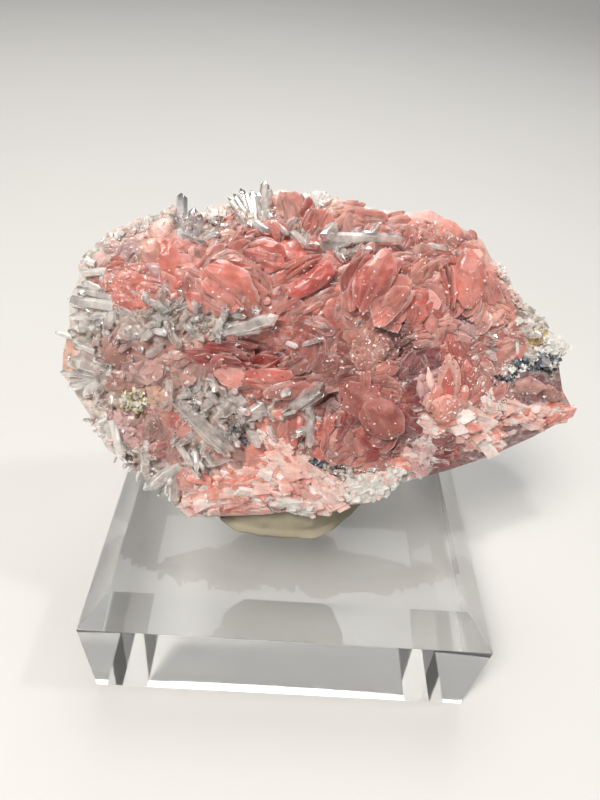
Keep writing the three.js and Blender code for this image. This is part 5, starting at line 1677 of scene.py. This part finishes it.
def press_putty():
    """The lump of putty: a pinched foot with a folded lip, smeared upwards under the rock."""
    rng = random.Random(5)
    angles = np.arange(PUTTY_SIDES) * FULL_TURN / PUTTY_SIDES
    reach = np.interp(angles, *polar_edge(PUTTY_FOOT, PUTTY_MIDDLE, 10), period=FULL_TURN)
    layers = [np.array([[*PUTTY_MIDDLE, PUTTY_GAP]])]
    for scale, rise in PUTTY_RISE:
        ring = np.stack((np.cos(angles) * reach * scale, np.sin(angles) * reach * scale), axis=1)
        layers.append(np.column_stack((ring + PUTTY_MIDDLE, np.full(PUTTY_SIDES, rise + PUTTY_GAP))))
    layers.append(np.array([[*PUTTY_MIDDLE, PUTTY_RISE[-1][1] + 0.05]]))
    points = np.concatenate(layers)
    out = points - (*PUTTY_MIDDLE, 0)
    out[:, 2] = 0
    out /= np.maximum(np.linalg.norm(out, axis=1, keepdims=True), 0.01)
    smear = ripple(points * (1, 1, 2.2), rng, 4.5) * 0.35
    smear = smear + ripple(points * (0.5, 0.5, 3), rng, 1.3, 2) * 0.12
    points = points + out * (smear * np.clip(points[:, 2] / 0.3, 0, 1))[:, None]
    points[:, 2] += BLOCK_TOP
    heap = Heap()
    heap.add(points, ring_faces(len(PUTTY_RISE), PUTTY_SIDES), TINTS["moss"], 0.0)
    heap.piece("putty_pressed", material_of("putty", paint_putty), SHARP_PUTTY,
               slot_of("mounting_putty"), "mounting_putty", Matrix.Scale(MM, 4))


def polish_block():
    """The CAD block itself, in clear acrylic with softened edges."""
    block = frame["nodes"]["acrylic_block"]
    block.data.materials.clear()
    block.data.materials.append(material_of("acrylic", paint_acrylic))
    bevel = block.modifiers.new("polished_edges", "BEVEL")
    bevel.width = 0.25 * MM
    bevel.segments = 2


# ---------------------------------------------------------------- floor, light and camera

MIDDLE = (0, 0, 0.04)
# Each light: name, place, target, size, power, colour.
LIGHTS = [
    ("key", (-0.25, -0.3, 0.6), MIDDLE, (0.2, 0.2), 3.3, (1, 0.96, 0.9)),
    ("spark", (-0.12, -0.16, 0.5), MIDDLE, (0.03, 0.03), 0.6, (1, 1, 1)),
    ("side_spark", (0.3, 0.0, 0.5), MIDDLE, (0.04, 0.04), 0.45, (1, 1, 1)),
    ("fill", (0.45, -0.3, 0.35), MIDDLE, (0.5, 0.4), 0.45, (1, 1, 1)),
    ("top", (0.0, 0.25, 0.6), MIDDLE, (0.5, 0.3), 1.3, (1, 1, 1)),
    ("far_floor", (0.1, 1.7, 1.0), (0.1, 1.2, 0), (1.4, 0.7), 7.0, (1, 1, 1)),
]
CAMERA_PLACE = Vector((-2.92, -58.03, 83.91)) * MM
CAMERA_FORWARD = Vector((0.0341, 0.7476, -0.6633)).normalized()
CAMERA_RIGHT = Vector((0.9969, 0.0215, 0.0756)).normalized()
CAMERA_LENS = 25.83
CAMERA_SENSOR = 36


def make_floor():
    """A floor that only the picture has."""
    bpy.ops.mesh.primitive_plane_add(size=6, location=(0, 0, -0.0001))
    floor = bpy.context.object
    floor.name = "floor"
    floor.data.materials.append(material_of("floor", paint_floor))


def make_lights():
    """The square and oblong lamps of the studio."""
    for name, place, target, size, power, colour in LIGHTS:
        data = bpy.data.lights.new(name, "AREA")
        data.shape = "RECTANGLE"
        data.size, data.size_y = size
        data.energy = power
        data.color = colour
        lamp = bpy.data.objects.new(name, data)
        lamp.location = place
        lamp.rotation_euler = (Vector(target) - Vector(place)).to_track_quat("-Z", "Y").to_euler()
        bpy.context.scene.collection.objects.link(lamp)


def make_world():
    """Dim even light from all round, and colours shown as they are."""
    world = bpy.data.worlds.new("studio")
    world.use_nodes = True
    background = world.node_tree.nodes["Background"]
    background.inputs["Color"].default_value = (0.9, 0.92, 0.95, 1)
    background.inputs["Strength"].default_value = 0.12
    bpy.context.scene.world = world
    bpy.context.scene.view_settings.view_transform = "Standard"


def make_camera():
    """The camera, in front of the specimen and above it."""
    data = bpy.data.cameras.new("camera")
    data.sensor_width = CAMERA_SENSOR
    data.lens = CAMERA_LENS
    data.clip_start = 0.005
    camera = bpy.data.objects.new("camera", data)
    up = CAMERA_RIGHT.cross(CAMERA_FORWARD)
    axes = Matrix((CAMERA_RIGHT, up, -CAMERA_FORWARD)).transposed().to_4x4()
    camera.matrix_world = Matrix.Translation(CAMERA_PLACE) @ axes
    bpy.context.scene.collection.objects.link(camera)
    bpy.context.scene.camera = camera


grow_rock()
blade_heaps = grow_blades()
grow_prisms()
grow_beds()
scatter_grains(blade_heaps + grow_rosettes())
grow_small_prisms()
press_putty()
polish_block()
make_floor()
make_lights()
make_world()
make_camera()
